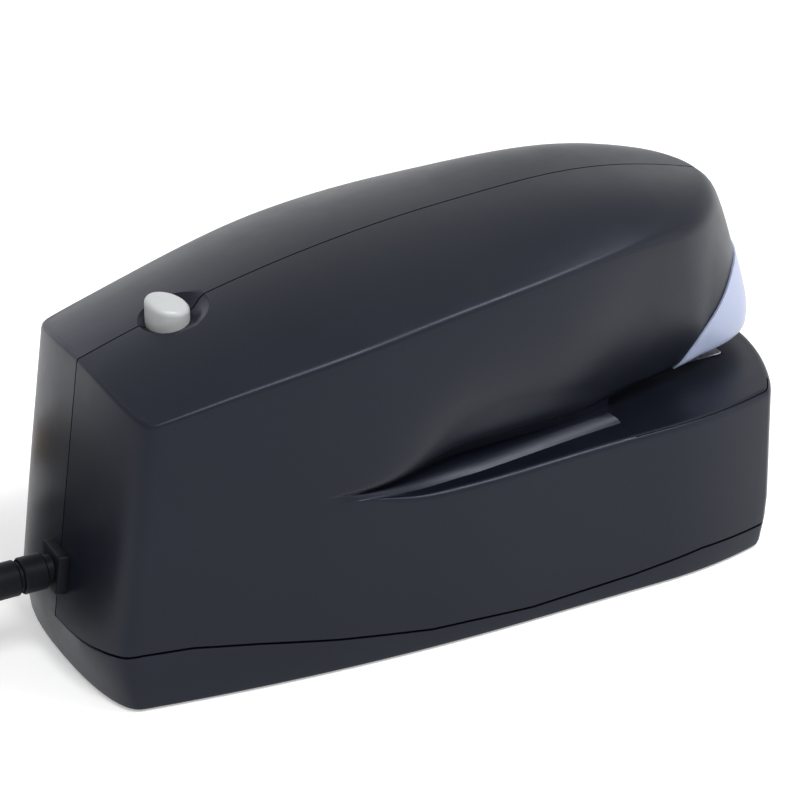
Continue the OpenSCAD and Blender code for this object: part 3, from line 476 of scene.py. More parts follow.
# The lead as far as the coil, from EXIT, and from the coil to the plug, from the coil's top
CORD_START = [(0, 0, 0), (-6, 0, -0.6), (-12, 0, -2.4), (-18, 0, -5.2)]
CORD_END = [(-7.5, 23.2, 5.4), (-2, 24.8, 7.3), (2, 25.8, 8.6), (5.6, 26, 9.1)]
COIL = np.array([EXIT[0] + CORD_START[-1][0], COIL_OUT, CORD_R])


def coil_points():
    """Inwards on the table, outwards on top, inwards again, and a slow rise to the plug."""
    points = []
    outer = TURNS_IN + TURNS_OUT
    last = outer + TURNS_LAST
    start_z, floor_z = RELIEF_Z + CORD_START[-1][2], CORD_R
    for k in range(1, int(last * TURN_STEPS)):
        turn = k / TURN_STEPS
        angle = -math.pi / 2 - 2 * math.pi * turn
        if turn < TURNS_IN:
            radius = COIL_OUT - COIL_TURN * turn
        elif turn < outer:
            radius = COIL_OUT - COIL_TURN * (2 * TURNS_IN - turn)
        else:
            radius = COIL_OUT - COIL_TURN * (2 * TURNS_IN - outer + turn - outer)
        if turn < SINK:
            u = turn / SINK
            z = start_z * (1 + 2 * u) * (1 - u) ** 2 - SINK_STEEPNESS * u * (1 - u) ** 2
            z += floor_z * u * u * (3 - 2 * u)
        else:
            layers = sum(np.clip((turn - at + LAYER_RUN / 2) / LAYER_RUN, 0, 1) for at in (TURNS_IN, outer))
            z = floor_z + COIL_TURN * layers + PLUG_RISE * max(0.0, (turn - last + RISE) / RISE) ** 2
        points.append(COIL + (radius * math.cos(angle), radius * math.sin(angle), z - CORD_R))
    return points


def make_lead():
    """The mains lead as one round curve, from the strain relief to the plug."""
    route = [EXIT + p for p in CORD_START] + coil_points()
    route += [COIL + (0, 0, 2 * COIL_TURN) + p for p in CORD_END]
    curve = bpy.data.curves.new("mains_lead", "CURVE")
    curve.dimensions = "3D"
    curve.bevel_depth = CORD_R * MM
    curve.bevel_resolution = 4
    curve.resolution_u = 4
    curve.use_fill_caps = True
    spline = curve.splines.new("BEZIER")
    spline.bezier_points.add(len(route) - 1)
    for point, place in zip(spline.bezier_points, route):
        point.co = Vector(place) * MM
        point.handle_left_type = point.handle_right_type = "AUTO"
    lead = bpy.data.objects.new("mains_lead", curve)
    scene.collection.objects.link(lead)
    curve.materials.append(CORD_SKIN)
    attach(lead, "housing")
    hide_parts("cord", "cord_coil")
    return lead


def rounded_ring(width, height, power, sides=40):
    """Points of a rounded rectangle, as (across, up)."""
    ring = []
    for k in range(sides):
        a = 2 * math.pi * k / sides
        c, s = math.cos(a), math.sin(a)
        across, up = abs(c) ** (2 / power), abs(s) ** (2 / power)
        ring.append((width * math.copysign(across, c), height * math.copysign(up, s)))
    return ring


def make_plug():
    """A moulded plug with waisted sides, and its two flat blades."""
    low, high = node_box("plug_body")
    middle = (low + high) / 2
    half_y, half_z = (high - low)[1:] / 2
    # Shares of the plug's length, half width and half height
    stations = [(0.0, 0.36, 0.62), (0.02, 0.42, 0.7), (0.12, 0.5, 0.78), (0.3, 0.72, 0.86), (0.45, 0.78, 0.9),
                (0.6, 0.82, 0.94), (0.75, 0.96, 1.0), (0.9, 1.0, 1.0), (0.97, 1.0, 1.0), (1.0, 0.95, 0.93)]
    rings = []
    for along, wide, tall in stations:
        x = low[0] + (high[0] - low[0]) * along
        ring = rounded_ring(half_y * wide, half_z * tall, power=3.2)
        rings.append([(x, middle[1] + u, middle[2] + v) for u, v in ring])
    body = finish_piece(loft(rings), "plug_moulding", "housing", "plug", PLUG, "plug_body")
    blades = []
    low, high = node_box("plug_pins")
    thick, hole_r, hole_back = 0.75, 1.6, 4.5
    for y in (low[1] + thick, high[1] - thick):
        rise, reach = (high[2] - low[2]) / 2, high[0] - low[0]
        ring = rounded_ring(thick, rise, power=8, sides=24)
        steps = [(0, 1.0), (reach - 1.6, 1.0), (reach - 0.5, 0.86), (reach, 0.6)]
        blade = loft([[(low[0] + x, y + u * s, middle[2] + v * s) for u, v in ring] for x, s in steps])
        hole = bar(hole_r, -3, 3, (low[0] + reach - hole_back, y, middle[2]), "Y", 32)
        blades.append(cut(blade, hole))
    pins = finish_piece(join(*blades), "plug_blades", "housing", "plug_metal", BRASS, "plug_pins")
    return body, pins


def make_tie():
    """A strap over the coil."""
    low, high = node_box("cord_tie")
    thick, corner, foot = 1.4, 2.5, low[2] + 0.2
    outer, inner = [], []
    for side, x in ((-1, low[0]), (1, high[0])):
        for k in range(7):
            a = math.pi / 2 * (k / 6 if side < 0 else 1 - k / 6)
            for path, r in ((outer, corner), (inner, corner - thick)):
                path.append((x - side * (corner - r * math.cos(a)), high[2] - corner + r * math.sin(a)))
    outline = [(low[0], foot), *outer, (high[0], foot), (high[0] - thick, foot)]
    outline += [*inner[::-1], (low[0] + thick, foot)]
    strap = prism(outline, low[1], high[1])
    return finish_piece(strap, "lead_tie", "housing", "cord_skin", CORD_SKIN, "cord_tie")


lead = make_lead()
plug, blades = make_plug()
tie = make_tie()


# ---- The outer form ----
# A run is a stretch along X over which one form changes into the next.

body_low, body_high = node_box("main_housing")
REAR_X, FRONT_X, BODY_HEIGHT = body_low[0], body_high[0], body_high[2]
BODY_HALF = max(body_high[1], -node_box("near_cover")[0][1])
FOOT_STAND = body_low[2]  # the feet hold the housing this far above the table
ANVIL_PROUD = 0.2
DECK = node_box("anvil_plate")[1][2] - ANVIL_PROUD
UNDERSIDE = node_box("nose_cap")[0][2]
THROAT_X = FRONT_X - 53.0
WALL = 2.4

# Crown: its ridge, flatter in the middle, and its fall from the ridge to the edges
CROWN_X, REAR_DROP, FRONT_DROP = 29.0, 21.9, 13.6
CROWN_FLAT, FLAT_RUN = 1.3, (10, 60)
CROWN_RISE, REAR_RISE_X, REAR_RISE_LENGTH = 8.4, -35, 94
FRONT_RISE_LOSS, FRONT_RISE_RUN = 0.26, (34, 72)
CROSS_POWERS, CROSS_RUN = (2.0, 3.3), (0, 60)
SPINE_SHARE, ROOF_SHARE = 0.9, 1.04  # the rows draw in along the ridge; a leaning roof is thicker upright

# Crown's edges: how far apart they are, and how round
CROWN_WIDTH, EDGE_X, EDGE_TAPER = 76.0, -23.0, 21.4
EDGE_TUCK, EDGE_TUCK_RUN = 2.2, (-70, -20)
EDGE_ROUNDS, EDGE_ROUND_RUN = (1.2, 5), (34, 90)

# Base: the draft of its sides, its narrowing towards both ends and the rounding of its toe and deck
SIDE_DRAFT = 1.2
REAR_NARROW_X, REAR_NARROWING = 12.5, 10.6
FRONT_NARROW_X, FRONT_NARROWING = 52, 9.0
TOE_BACK, TOE_HEIGHT = 3, 14
BASE_POWER, FRONT_BOW, FRONT_CORNER = 2.5, 8.0, 4.0
LEDGE_ROUND, LEDGE_START, DECK_START = 1.9, 30, 36

# Rear face, which leans forwards above and below its rearmost line, and the head's front
REAR_SLOPE, REAR_BEND_Z = 0.131, 13
REAR_POWER, REAR_CORNER, REAR_BOW = 2.8, 6.0, 1.2
HEAD_FRONT_Z, HEAD_FRONT_HEIGHT, HEAD_FRONT_LEAN, HEAD_FRONT_HOLLOW = 54.0, 32, 0.0102, 1.9
HEAD_CORNER, HEAD_POWERS, HEAD_POWER_LEVELS = 26, (2, 2.1), (70, 92)
HEAD_LOW_Z, HEAD_HIGH_Z, SIDE_BULGE = 55.0, 88, 0.6

# Side groove: where it opens, how its edges climb at the rear tip and how the deck's edge dips; its rows
# lie one above the other where it is shut, and end a little behind the front
GROOVE_RUN = -42, 0
TIP_LIFT, TIP_RISE_RUN, TIP_FALL_RUN = 3.0, (-82, -50), (-44, -14)
DECK_DIP, DIP_RUN, DIP_END_RUN = 0.9, (-30, -10), (-5, 40)
SHUT_RISE, SHUT_STEP, GROOVE_BACK = 0.3, 0.42, (2, 2, 2.2, 2, 0.5)

# Ramp and underside of the head, with Y as the distance from the middle, and the head's lower edge
RAMP, RAMP_FOOT_Y, RAMP_TOP_Y, RAMP_BLEND = 2.1, 30.3, 28.1, 0.28
RAMP_SWING, RAMP_SWING_X, RAMP_SWING_MOST = 0.077, 48, 3.7
THROAT_CORNER, THROAT_POWER, DECK_POWER = 27, 2, 2.2
LIP, LIP_SHARE, THROAT_ROOF_Y = 1.6, 0.72, 27.6
HEAD_LIFT, LIFT_RUN, LIFT_END_RUN = 12.5, (-44, 7), (7, 58)
LOWER_OUT, LOWER_TUCK, LOWER_TUCK_RUN = 0.3, 3.2, (-38, -5)
NOSE_HALF, NOSE_TUCK, NOSE_TUCK_RUN = 18.3, 2.5, (20, 52)


def mix(a, b, t):
    """The value a share t of the way from a to b."""
    return a + (b - a) * t


def ease(a, b, v):
    """0 before a, 1 after b, and a soft step between."""
    t = np.clip((v - a) / (b - a), 0, 1)
    return t * t * (3 - 2 * t)


def ridge(x):
    """Height of the crown's ridge."""
    back = REAR_DROP * ((CROWN_X - x) / (CROWN_X - REAR_X)) ** 2
    front = FRONT_DROP * ((x - CROWN_X) / (FRONT_X - CROWN_X)) ** 2
    return BODY_HEIGHT - CROWN_FLAT * (1 - ease(*FLAT_RUN, x)) - np.where(x < CROWN_X, back, front)


def edge_half(x):
    """Half width of the crown at its edges."""
    middle = CROWN_WIDTH / 2 - EDGE_TUCK * (1 - ease(*EDGE_TUCK_RUN, x))
    return middle - EDGE_TAPER * ((x - EDGE_X) / (FRONT_X - EDGE_X)) ** 2


def top_z(x, y):
    """Height of the crown's surface."""
    rear_loss = np.where(x < REAR_RISE_X, (x - REAR_RISE_X) / REAR_RISE_LENGTH, 0) ** 2
    rise = CROWN_RISE * (1 - rear_loss - FRONT_RISE_LOSS * ease(*FRONT_RISE_RUN, x))
    return ridge(x) - rise * np.abs(y / edge_half(x)) ** mix(*CROSS_POWERS, ease(*CROSS_RUN, x))


def base_half(x, z):
    """Half width of the base."""
    half = BODY_HALF - SIDE_DRAFT * (z - FOOT_STAND) / DECK * (x - REAR_X) / (FRONT_X - REAR_X)
    rear = REAR_NARROWING * ((REAR_NARROW_X - x) / (REAR_NARROW_X - REAR_X)) ** 2
    front = FRONT_NARROWING * ((x - FRONT_NARROW_X) / (FRONT_X - FRONT_NARROW_X)) ** 2
    half = half - np.where(x < REAR_NARROW_X, rear, 0)
    return half - np.where(x > FRONT_NARROW_X, front, 0)


def groove(x):
    """How far the side groove has opened."""
    return ease(*GROOVE_RUN, x)


def tip_lift(x):
    """How far the groove's edges climb towards its rear tip."""
    return TIP_LIFT * ease(*TIP_RISE_RUN, x) * (1 - ease(*TIP_FALL_RUN, x))


def deck_shift(x):
    """How far the deck's edge lies above its level."""
    return tip_lift(x) - DECK_DIP * ease(*DIP_RUN, x) * (1 - ease(*DIP_END_RUN, x))


def ramp_out(x):
    """How far the ramp under the head swings out towards the rear."""
    return np.clip(RAMP_SWING * (RAMP_SWING_X - x), 0, RAMP_SWING_MOST)


def lower_z(x):
    """Height of the head's lower edge."""
    at_nose = UNDERSIDE - DECK - RAMP + LIP
    rising = HEAD_LIFT * ease(*LIFT_RUN, x)
    sinking = mix(HEAD_LIFT, at_nose, ease(*LIFT_END_RUN, x))
    return DECK + RAMP + tip_lift(x) + np.where(x < LIFT_RUN[1], rising, sinking)


def lower_half(x):
    """Half width of the head's lower edge."""
    tucks = LOWER_TUCK * ease(*LOWER_TUCK_RUN, x), NOSE_TUCK * ease(*NOSE_TUCK_RUN, x)
    return np.maximum(NOSE_HALF, edge_half(x) + LOWER_OUT - tucks[0] - tucks[1])


def rear_face(z):
    """Where the rear face is, at a level."""
    return REAR_X + REAR_SLOPE * np.abs(z - REAR_BEND_Z)


def head_front(z):
    """Where the head's front is, at a level."""
    over = np.clip(z - HEAD_FRONT_Z, 0, HEAD_FRONT_HEIGHT)
    hollow = HEAD_FRONT_HOLLOW * np.sin(np.pi * over / HEAD_FRONT_HEIGHT)
    return FRONT_X - HEAD_FRONT_LEAN * (z - HEAD_FRONT_Z) ** 2 - hollow


def base_front(z):
    """Where the base's front is, at a level."""
    return FRONT_X - TOE_BACK * (max(0, TOE_HEIGHT - z) / TOE_HEIGHT) ** 2


def edge_round(x):
    """Radius of the crown's edge."""
    return mix(*EDGE_ROUNDS, ease(*EDGE_ROUND_RUN, x))


def head_power(z):
    """How square the head's front is, at a level."""
    return mix(*HEAD_POWERS, ease(*HEAD_POWER_LEVELS, z))


class Form:
    """The closed outer form of the stapler, moved inwards by an inset.

    A row is one line along the near side: round the rear corner, along the side and round the front.
    """

    def __init__(self, inset, rear=12, side=64, front=26):
        self.inset = inset
        self.count = rear + side + front
        i = np.arange(self.count + 1)
        self.is_rear, self.is_front = i <= rear, i > rear + side
        self.rear_angle = np.radians(90 * np.clip(i / rear, 0, 1))
        self.side_share = np.clip((i - rear) / side, 0, 1)
        self.front_angle = np.radians(90 * np.clip((self.count - i) / front, 0, 1))

    def plan_x(self, back, front, corner, bow, power):
        """Places along X of a row between its back and its front."""
        s = np.sin(self.rear_angle) ** (2 / REAR_POWER)
        c = np.clip(np.cos(self.rear_angle), 0, 1) ** (2 / REAR_POWER)
        at_rear = back + REAR_BOW * s * s + REAR_CORNER * (1 - c)
        at_side = mix(back + REAR_BOW + REAR_CORNER, front - bow - corner, self.side_share)
        s = np.sin(self.front_angle) ** (2 / power)
        c = np.clip(np.cos(self.front_angle), 0, 1) ** (2 / power)
        at_front = front - bow * s * s - corner * (1 - c)
        return np.where(self.is_rear, at_rear, np.where(self.is_front, at_front, at_side))

    def plan_y(self, power):
        """Share of the half width that each point of a row has."""
        at_rear = np.sin(self.rear_angle) ** (2 / REAR_POWER)
        at_front = np.clip(np.sin(self.front_angle), 0, 1) ** (2 / power)
        return np.where(self.is_rear, at_rear, np.where(self.is_front, at_front, 1.0))

    def base_row(self, rise, inset):
        """A row of the base, with an inset of its own that rounds the edges."""
        z = rise + FOOT_STAND
        x0 = self.plan_x(rear_face(z), base_front(z), FRONT_CORNER, FRONT_BOW, BASE_POWER)
        opened = groove(x0) if z > LEDGE_START else np.ones_like(x0)
        inset = inset * opened + self.inset
        x = self.plan_x(rear_face(z) + inset, base_front(z) - inset, FRONT_CORNER, FRONT_BOW, BASE_POWER)
        y = (base_half(x, z) - inset) * self.plan_y(BASE_POWER)
        z = z + self.inset if rise < 1 else z - self.inset * opened if rise > LEDGE_START else z
        z = z + deck_shift(x) if rise > DECK_START else z
        return np.stack([x, y, z + 0 * x], 1)

    def head_x(self, z):
        """Places along X of a row of the head."""
        back, front = rear_face(z) + self.inset, head_front(z) - self.inset
        return self.plan_x(back, front, HEAD_CORNER, 0, head_power(z))

    def head_row(self, g):
        """A row of the head's side, a share g of the way from its lower edge to the crown's."""
        x0 = self.head_x(mix(lower_z(self.head_x(HEAD_LOW_Z)), HEAD_HIGH_Z, g))
        top = top_z(x0, edge_half(x0) * self.plan_y(HEAD_POWERS[1])) - edge_round(x0) - self.inset
        z = mix(lower_z(x0) + self.inset * groove(x0), top, g)
        x = self.head_x(z)
        opened = groove(x)
        wall = np.where(opened < 1, mix(base_half(x, DECK), edge_half(x), g), edge_half(x))
        tuck = mix(1 - (1 - g) ** 3, g, ease(*NOSE_TUCK_RUN, x))
        half = mix(wall, mix(lower_half(x), edge_half(x), tuck), opened)
        half = half + SIDE_BULGE * math.sin(math.pi * g) * opened
        return np.stack([x, (half - self.inset) * self.plan_y(head_power(z)), z], 1)

    def groove_row(self, k):
        """A row of the groove: deck edge, ramp foot, ramp top, underside or lip."""
        inset, shut_z = self.inset, DECK + SHUT_RISE + SHUT_STEP * k
        back, front = rear_face(shut_z) + inset, FRONT_X - GROOVE_BACK[k] - inset
        if k < 2:
            power, corner, bow = DECK_POWER, mix(FRONT_CORNER, THROAT_CORNER, k / 2), mix(FRONT_BOW, 0, k / 2)
        else:
            power, corner, bow = THROAT_POWER, THROAT_CORNER, 0
        x = self.plan_x(back, front, corner, bow, power)
        low, out = lower_half(x), ramp_out(x)
        roof = np.minimum(low - LIP, THROAT_ROOF_Y)
        across = [RAMP_FOOT_Y + out, RAMP_TOP_Y + out, roof - 0.3, roof, mix(roof, low, LIP_SHARE)][k]
        height = [DECK, DECK + RAMP, DECK + RAMP + 0.1, UNDERSIDE, UNDERSIDE + LIP][k]
        inwards, upwards = [(0.4, -1), (1, -0.4), (1, 0), (1, 0.7), (1, 0.6)][k]
        opened = groove(x)
        y = mix(base_half(x, DECK) - inset, across - inwards * inset, opened)
        z = mix(shut_z + tip_lift(x), height + upwards * inset, opened)
        z = z + opened * deck_shift(x) if k < 3 else z
        return np.stack([x, y * self.plan_y(power), z], 1)

    def crown_row(self, f):
        """A row of the crown, a share f of the way from the ridge to the edge."""
        p = self.head_row(1)
        r, s = edge_round(p[:, 0]), self.plan_y(HEAD_POWERS[1])
        side = np.where(self.is_rear, 1, np.where(self.is_front, -1, 0))
        x1 = p[:, 0] + r * (1 - 0.5 * s) * side
        x = mix(x1, CROWN_X + (x1 - CROWN_X) * SPINE_SHARE, 1 - f)
        y = np.maximum(0, p[:, 1] - r * s) * f
        return np.stack([x, y, top_z(x, y) - self.inset * ROOF_SHARE], 1)

    def crown_corner(self):
        """Where the crown's edge would be without its rounding."""
        p, below = self.head_row(1), self.head_row(0.9)
        lean = (p - below) / (p - below)[:, 2:]
        return p + lean * edge_round(p[:, 0])[:, None]

    def rows(self):
        """All rows from the bottom up: base, deck edge, groove, head and crown."""
        rise = DECK - FOOT_STAND
        levels = [(0, 0.5), (0.35, 0.15)] + [(level, 0) for level in (1.2, 6.8, 12.4, 19, 26, 33, rise - 3)]
        for k in range(7):
            u = k / 6
            levels.append((rise - LEDGE_ROUND * (1 - u) ** 2, LEDGE_ROUND * u * u))
        rows = [self.base_row(*level) for level in levels]
        a, top, c = [self.groove_row(k) for k in range(3)]
        b, c = a * (1, 1, 0) + top * (0, 0, 1), mix(top, c, 0.35)
        b = mix((a + c) / 2, b, RAMP_BLEND * groove(a[:, :1]))
        rows += [curve_point(a, b, c, u) for u in (0, 0.2, 0.4, 0.6, 0.8, 1)]
        rows.append(self.groove_row(2))
        lip = [self.groove_row(3), self.groove_row(4)] + [self.head_row(g) for g in (0, 0.14, 0.28)]
        rows += round_off(round_off(lip))
        rows += [self.head_row(g) for g in (0.36, 0.44, 0.52, 0.6, 0.68, 0.76, 0.84, 0.92, 1)]
        a, b, c = self.head_row(1), self.crown_corner(), self.crown_row(1)
        rows += [curve_point(a, b, c, u) for u in (0.2, 0.4, 0.6, 0.8)]
        shares = (1, 0.94, 0.86, 0.77, 0.68, 0.59, 0.5, 0.41, 0.32, 0.23, 0.14, 0.06)
        return rows + [self.crown_row(f) for f in shares]

    def solid(self, name):
        """The whole closed skin: near side first, then the far side."""
        count, rows = self.count, self.rows()
        n = 2 * count
        rings = [np.concatenate([row * (1, -1, 1), row[count - 1:0:-1]]) for row in rows]
        keel, spine = rows[0] * (1, 0, 1), self.crown_row(0)
        points = np.concatenate(rings + [keel, spine])
        start, last = len(rows) * n, (len(rows) - 1) * n
        top = start + count + 1
        faces = [(r * n + i, r * n + (i + 1) % n, (r + 1) * n + (i + 1) % n, (r + 1) * n + i)
                 for r in range(len(rows) - 1) for i in range(n)]
        for i in range(count):
            near, far, far_next = (i, i + 1), (n - i) % n, n - i - 1
            faces += [(near[0], start + i, start + i + 1, near[1]), (far, far_next, start + i + 1, start + i),
                      (last + near[0], last + near[1], top + i + 1, top + i),
                      (last + far, top + i, top + i + 1, last + far_next)]
        faces = [tuple(dict.fromkeys(face)) for face in faces]
        return new_object(name, points, [face[::-1] for face in faces])


def curve_point(a, b, c, u):
    """The point a share u along the curve from a to c that bends towards b."""
    return (1 - u) ** 2 * a + 2 * u * (1 - u) * b + u * u * c


def round_off(rows):
    """Cut the corners of a run of rows, keeping its ends."""
    result = [rows[0]]
    for a, b in zip(rows, rows[1:]):
        result += [mix(a, b, 0.25), mix(a, b, 0.75)]
    return result + [rows[-1]]


def weld(piece, distance=0.0005):
    """Merge points that share a place, so that the solid is closed."""
    work = bmesh.new()
    work.from_mesh(piece.data)
    bmesh.ops.remove_doubles(work, verts=work.verts, dist=distance)
    bmesh.ops.dissolve_degenerate(work, edges=work.edges, dist=distance)
    bmesh.ops.recalc_face_normals(work, faces=work.faces)
    work.to_mesh(piece.data)
    work.free()
    return piece


# ---- Housing ----

THROUGH = 9  # how far a cutting solid reaches past what it cuts
INSIDE = 10, 40, 18  # points round the rear, along the side and round the front of what is not seen
BUTTON_LOW, BUTTON_HIGH = node_box("release_button")
BUTTON_X = (BUTTON_LOW[0] + BUTTON_HIGH[0]) / 2
BUTTON_RIM, BUTTON_PLAY = 1.3, 0.15
BUTTON_R = (BUTTON_HIGH[0] - BUTTON_LOW[0]) / 2 - BUTTON_RIM
# The dish round the button, what share of the crown's slope it follows, its roll to one side,
# and the underside of the pad that thickens the roof below it
DISH_R, DISH_DEPTH, DISH_LEAN, DISH_ROLL = 8.2, 2.1, 0.55, math.radians(7)
DISH_Z = float(ridge(BUTTON_X)) - DISH_DEPTH
PAD_DEPTH = 5.2
PAD_Z = DISH_Z + DISH_DEPTH + CROWN_FLAT - PAD_DEPTH
NECK_R = 4.6

# Nose: how it stands out of the head, and the line where it meets the housing
NOSE_PROUD, NOSE_WALL = 0.4, 1.8
NOSE_LINE, NOSE_SLOPE, NOSE_LINE_RISE, NOSE_TOP = 31.4, 1.04, 18.3, 22.8
NOSE_BEND = (11.1, 20.7), (7.9, 22.1), (4, 22.7)

# Seam along the base, as (from the rear, height), and how wide the seams are
SEAM = [(-0.5, 13.1), (1, 14.2), (2, 15.0), (3.5, 15.7), (6, 16.1), (9, 16.2), (21, 15.9), (36.5, 13.6),
        (57, 9.9), (81.5, 6.5), (91.5, 6.1), (108.9, 5.1), (137.5, 6), (157.9, 7.6), (179, 6.8)]
SEAM_DROP, SEAM_REAR_Z, SEAM_FRONT_Z = 0.9, 12.2, 5.6
SEAM_GAP, BASE_SEAM = 0.42, 0.62
# The deck stays with the main housing, up to this far inside the base's edge, and so does a front tongue
DECK_EDGE, TONGUE_LENGTH, TONGUE_HALF = 1.0, 8.5, 31.2

# Screws that hold the two halves, as (x, z), and what they go into
BOSS_R, BOSS_FLARE, SCREW_R, SCREW_HEAD_R, SCREW_SINK = 3.1, 0.8, 1.3, 2.6, 5.0
SCREWS = [(REAR_X + 10.7, 38.0), (REAR_X + 17, 69.0), (FRONT_X - 23.5, 23.6),
          (50.0, node_box("housing_screws")[1][2] - SCREW_HEAD_R)]
FOOT_R, POST_R, RIB_HALF = 5.0, 3.2, 0.8
CHASSIS_IN, CHASSIS_THICK, SOLENOID_X = 12.6, 1.5, REAR_X + 43


def closed_form(inset, *detail):
    """The outer form as a closed solid, moved inwards by an inset."""
    return weld(Form(inset, *detail).solid("form"))


def nose_region(gap, low):
    """Everything in front of the sloping line between housing and nose."""
    line = FRONT_X - NOSE_LINE - UNDERSIDE / NOSE_SLOPE
    outline = [(line + z / NOSE_SLOPE + gap, z) for z in (low, UNDERSIDE + NOSE_LINE_RISE)]
    outline += [(FRONT_X - x + 0.6 * gap, UNDERSIDE + z - 0.8 * gap) for x, z in NOSE_BEND]
    outline += [(FRONT_X + 20, UNDERSIDE + NOSE_TOP - gap), (FRONT_X + 20, low)]
    return prism(outline, -40, 40)


def plan_ring(inset, z):
    """The base's outline at deck height, moved inwards, at a level z."""
    row = Form(inset, 8, 40, 16).base_row(33, 0) * (1, 1, 0) + (0, 0, z)
    return np.concatenate([row * (1, -1, 1), row[-2:0:-1]])


def near_region(gap, seam=0.0):
    """What the near cover takes: the near side above the seam."""
    ahead, behind = FRONT_X + THROUGH, REAR_X - THROUGH
    outline = [(REAR_X + x, z - SEAM_DROP + seam) for x, z in SEAM]
    outline += [(ahead, SEAM_FRONT_Z + seam), (ahead, 130), (behind, 130), (behind, SEAM_REAR_Z + seam)]
    region = prism(outline, -90, -gap)
    deck = loft([plan_ring(DECK_EDGE - 0.6 * gap, z) for z in (DECK - WALL - gap, DECK + 3)])
    keep(deck, block((THROAT_X - 0.05 - 0.08 * gap, -90, 0), (ahead, THROUGH, 90)))
    tongue = block((FRONT_X - TONGUE_LENGTH - 0.3 * gap, -TONGUE_HALF, 0), (ahead, THROUGH, DECK + 3))
    return cut(region, deck, tongue)


def make_dish():
    """The cutter for the dish round the button: a flat floor and a rounded, rising rim."""
    wall = [(-2.8, 0), (-2, 0.3), (-1.2, 0.85), (-0.5, 1.5), (0, 2.0), (0.6, 2.45), (1.8, 3.0), (3.5, 20)]
    dish = turned([(0, 0), *((DISH_R + out, up) for out, up in wall), (0, 20)], (0, 0, 0), "Z", 96)
    slope = math.atan((float(ridge(BUTTON_X + 5)) - float(ridge(BUTTON_X - 5))) / 10)
    lean = Matrix.Rotation(-DISH_LEAN * slope, 4, "Y") @ Matrix.Rotation(DISH_ROLL, 4, "X")
    dish.data.transform(Matrix.Translation((BUTTON_X, 0, DISH_Z)) @ lean)
    return dish


def throat_bevel(side):
    """The cutter for the sloping rear end of the throat, beside the ramp."""
    outline = [(-3.4, 3), (-1.7, 1.9), (-0.5, 1.0), (0.02, 0.1), (1, 3)]
    return prism([(THROAT_X + x, DECK + z) for x, z in outline], *sorted((side * 27.4, side * 36)))


def make_shell():
    """The hollow housing with its slot, dish and openings."""
    outer = closed_form(0)
    ahead = FRONT_X + THROUGH
    slab = keep(copy(outer), block((THROAT_X - WALL, -90, DECK - WALL), (ahead, 90, UNDERSIDE + WALL)))
    pad = keep(closed_form(WALL / 2, *INSIDE), bar(DISH_R + 2, PAD_Z, PAD_Z + 20, (BUTTON_X, 0, 0)))
    shell = cut(outer, closed_form(WALL, *INSIDE))
    join(shell, slab, pad)
    throat = block((THROAT_X, -90, DECK - 0.02), (ahead, 90, UNDERSIDE - 0.01))
    button_hole = bar(BUTTON_R - BUTTON_PLAY, PAD_Z - THROUGH, PAD_Z + 20, (BUTTON_X, 0, 0))
    rim_room = bar(BUTTON_R + 1.0, PAD_Z - THROUGH, PAD_Z, (BUTTON_X, 0, 0))
    lead_hole = bar(NECK_R + 0.15, REAR_X - THROUGH, REAR_X + THROUGH, (0, 0, RELIEF_Z), "X")
    trigger_slot = block((THROAT_X + 0.2, -3.6, DECK - THROUGH), (THROAT_X + 5.9, 3.6, DECK + 1))
    return cut(shell, throat, nose_region(0, UNDERSIDE - 1), make_dish(), button_hole, rim_room, lead_hole,
               trigger_slot, throat_bevel(-1), throat_bevel(1))


def wall_y(x, z):
    """Where the side wall is, at a screw."""
    half = min(edge_half(x), base_half(x, DECK)) if z > DECK else base_half(x, z)
    corner_share = 0.8 if x > 70 else 0.94 if x < REAR_X + 14 else 1
    return float(half) * corner_share


def screw_boss(x, z, side, skin):
    """A tapered boss from the side wall to the middle, with a rib below it."""
    boss = turned([(BOSS_R, 0), (BOSS_R, 20), (BOSS_R + BOSS_FLARE, 40)], (x, 0, z), "Y", 32)
    rib, left, right = [], x - RIB_HALF, x + RIB_HALF
    for y, low in ((16, z - BOSS_R), (40, z - BOSS_R - 4)):
        rib.append([(left, y, low), (right, y, low), (right, y, z), (left, y, z)])
    join(boss, loft(rib))
    if side < 0:
        boss.data.transform(Matrix.Diagonal((1, -1, 1, 1)))
        boss.data.flip_normals()
    return keep(boss, copy(skin))


def housing_posts():
    """What stands on the floor of the housing: posts for chassis, board and solenoid."""
    floor = FOOT_STAND + WALL - 0.5
    chassis_z, solenoid_z = node_box("chassis_plates")[0][2], node_box("solenoid_frame")[0][2]
    board_low, board_high = node_box("circuit_board")
    plate_y = CHASSIS_IN + CHASSIS_THICK / 2
    posts = []
    for s in (-1, 1):
        for x in (REAR_X + 71.5, FRONT_X - 13.5):
            posts.append(bar(POST_R, floor, chassis_z, (x, s * plate_y, 0)))
        for x in (board_low[0] + 8, board_high[0] - 8):
            posts.append(bar(POST_R, floor, board_low[2], (x, s * (board_high[1] - 4), 0)))
        for x in (-12, 12):
            posts.append(bar(POST_R, floor, solenoid_z, (SOLENOID_X + x, s * 11, 0)))
    low, high = node_box("terminal_block")
    posts.append(block((low[0], low[1], floor), (high[0], high[1], low[2])))
    return posts


def feet_places():
    """Where the middles of the four feet are."""
    low, high = node_box("feet")
    return [(x, y) for x in (low[0] + FOOT_R, high[0] - FOOT_R) for y in (low[1] + FOOT_R, high[1] - FOOT_R)]


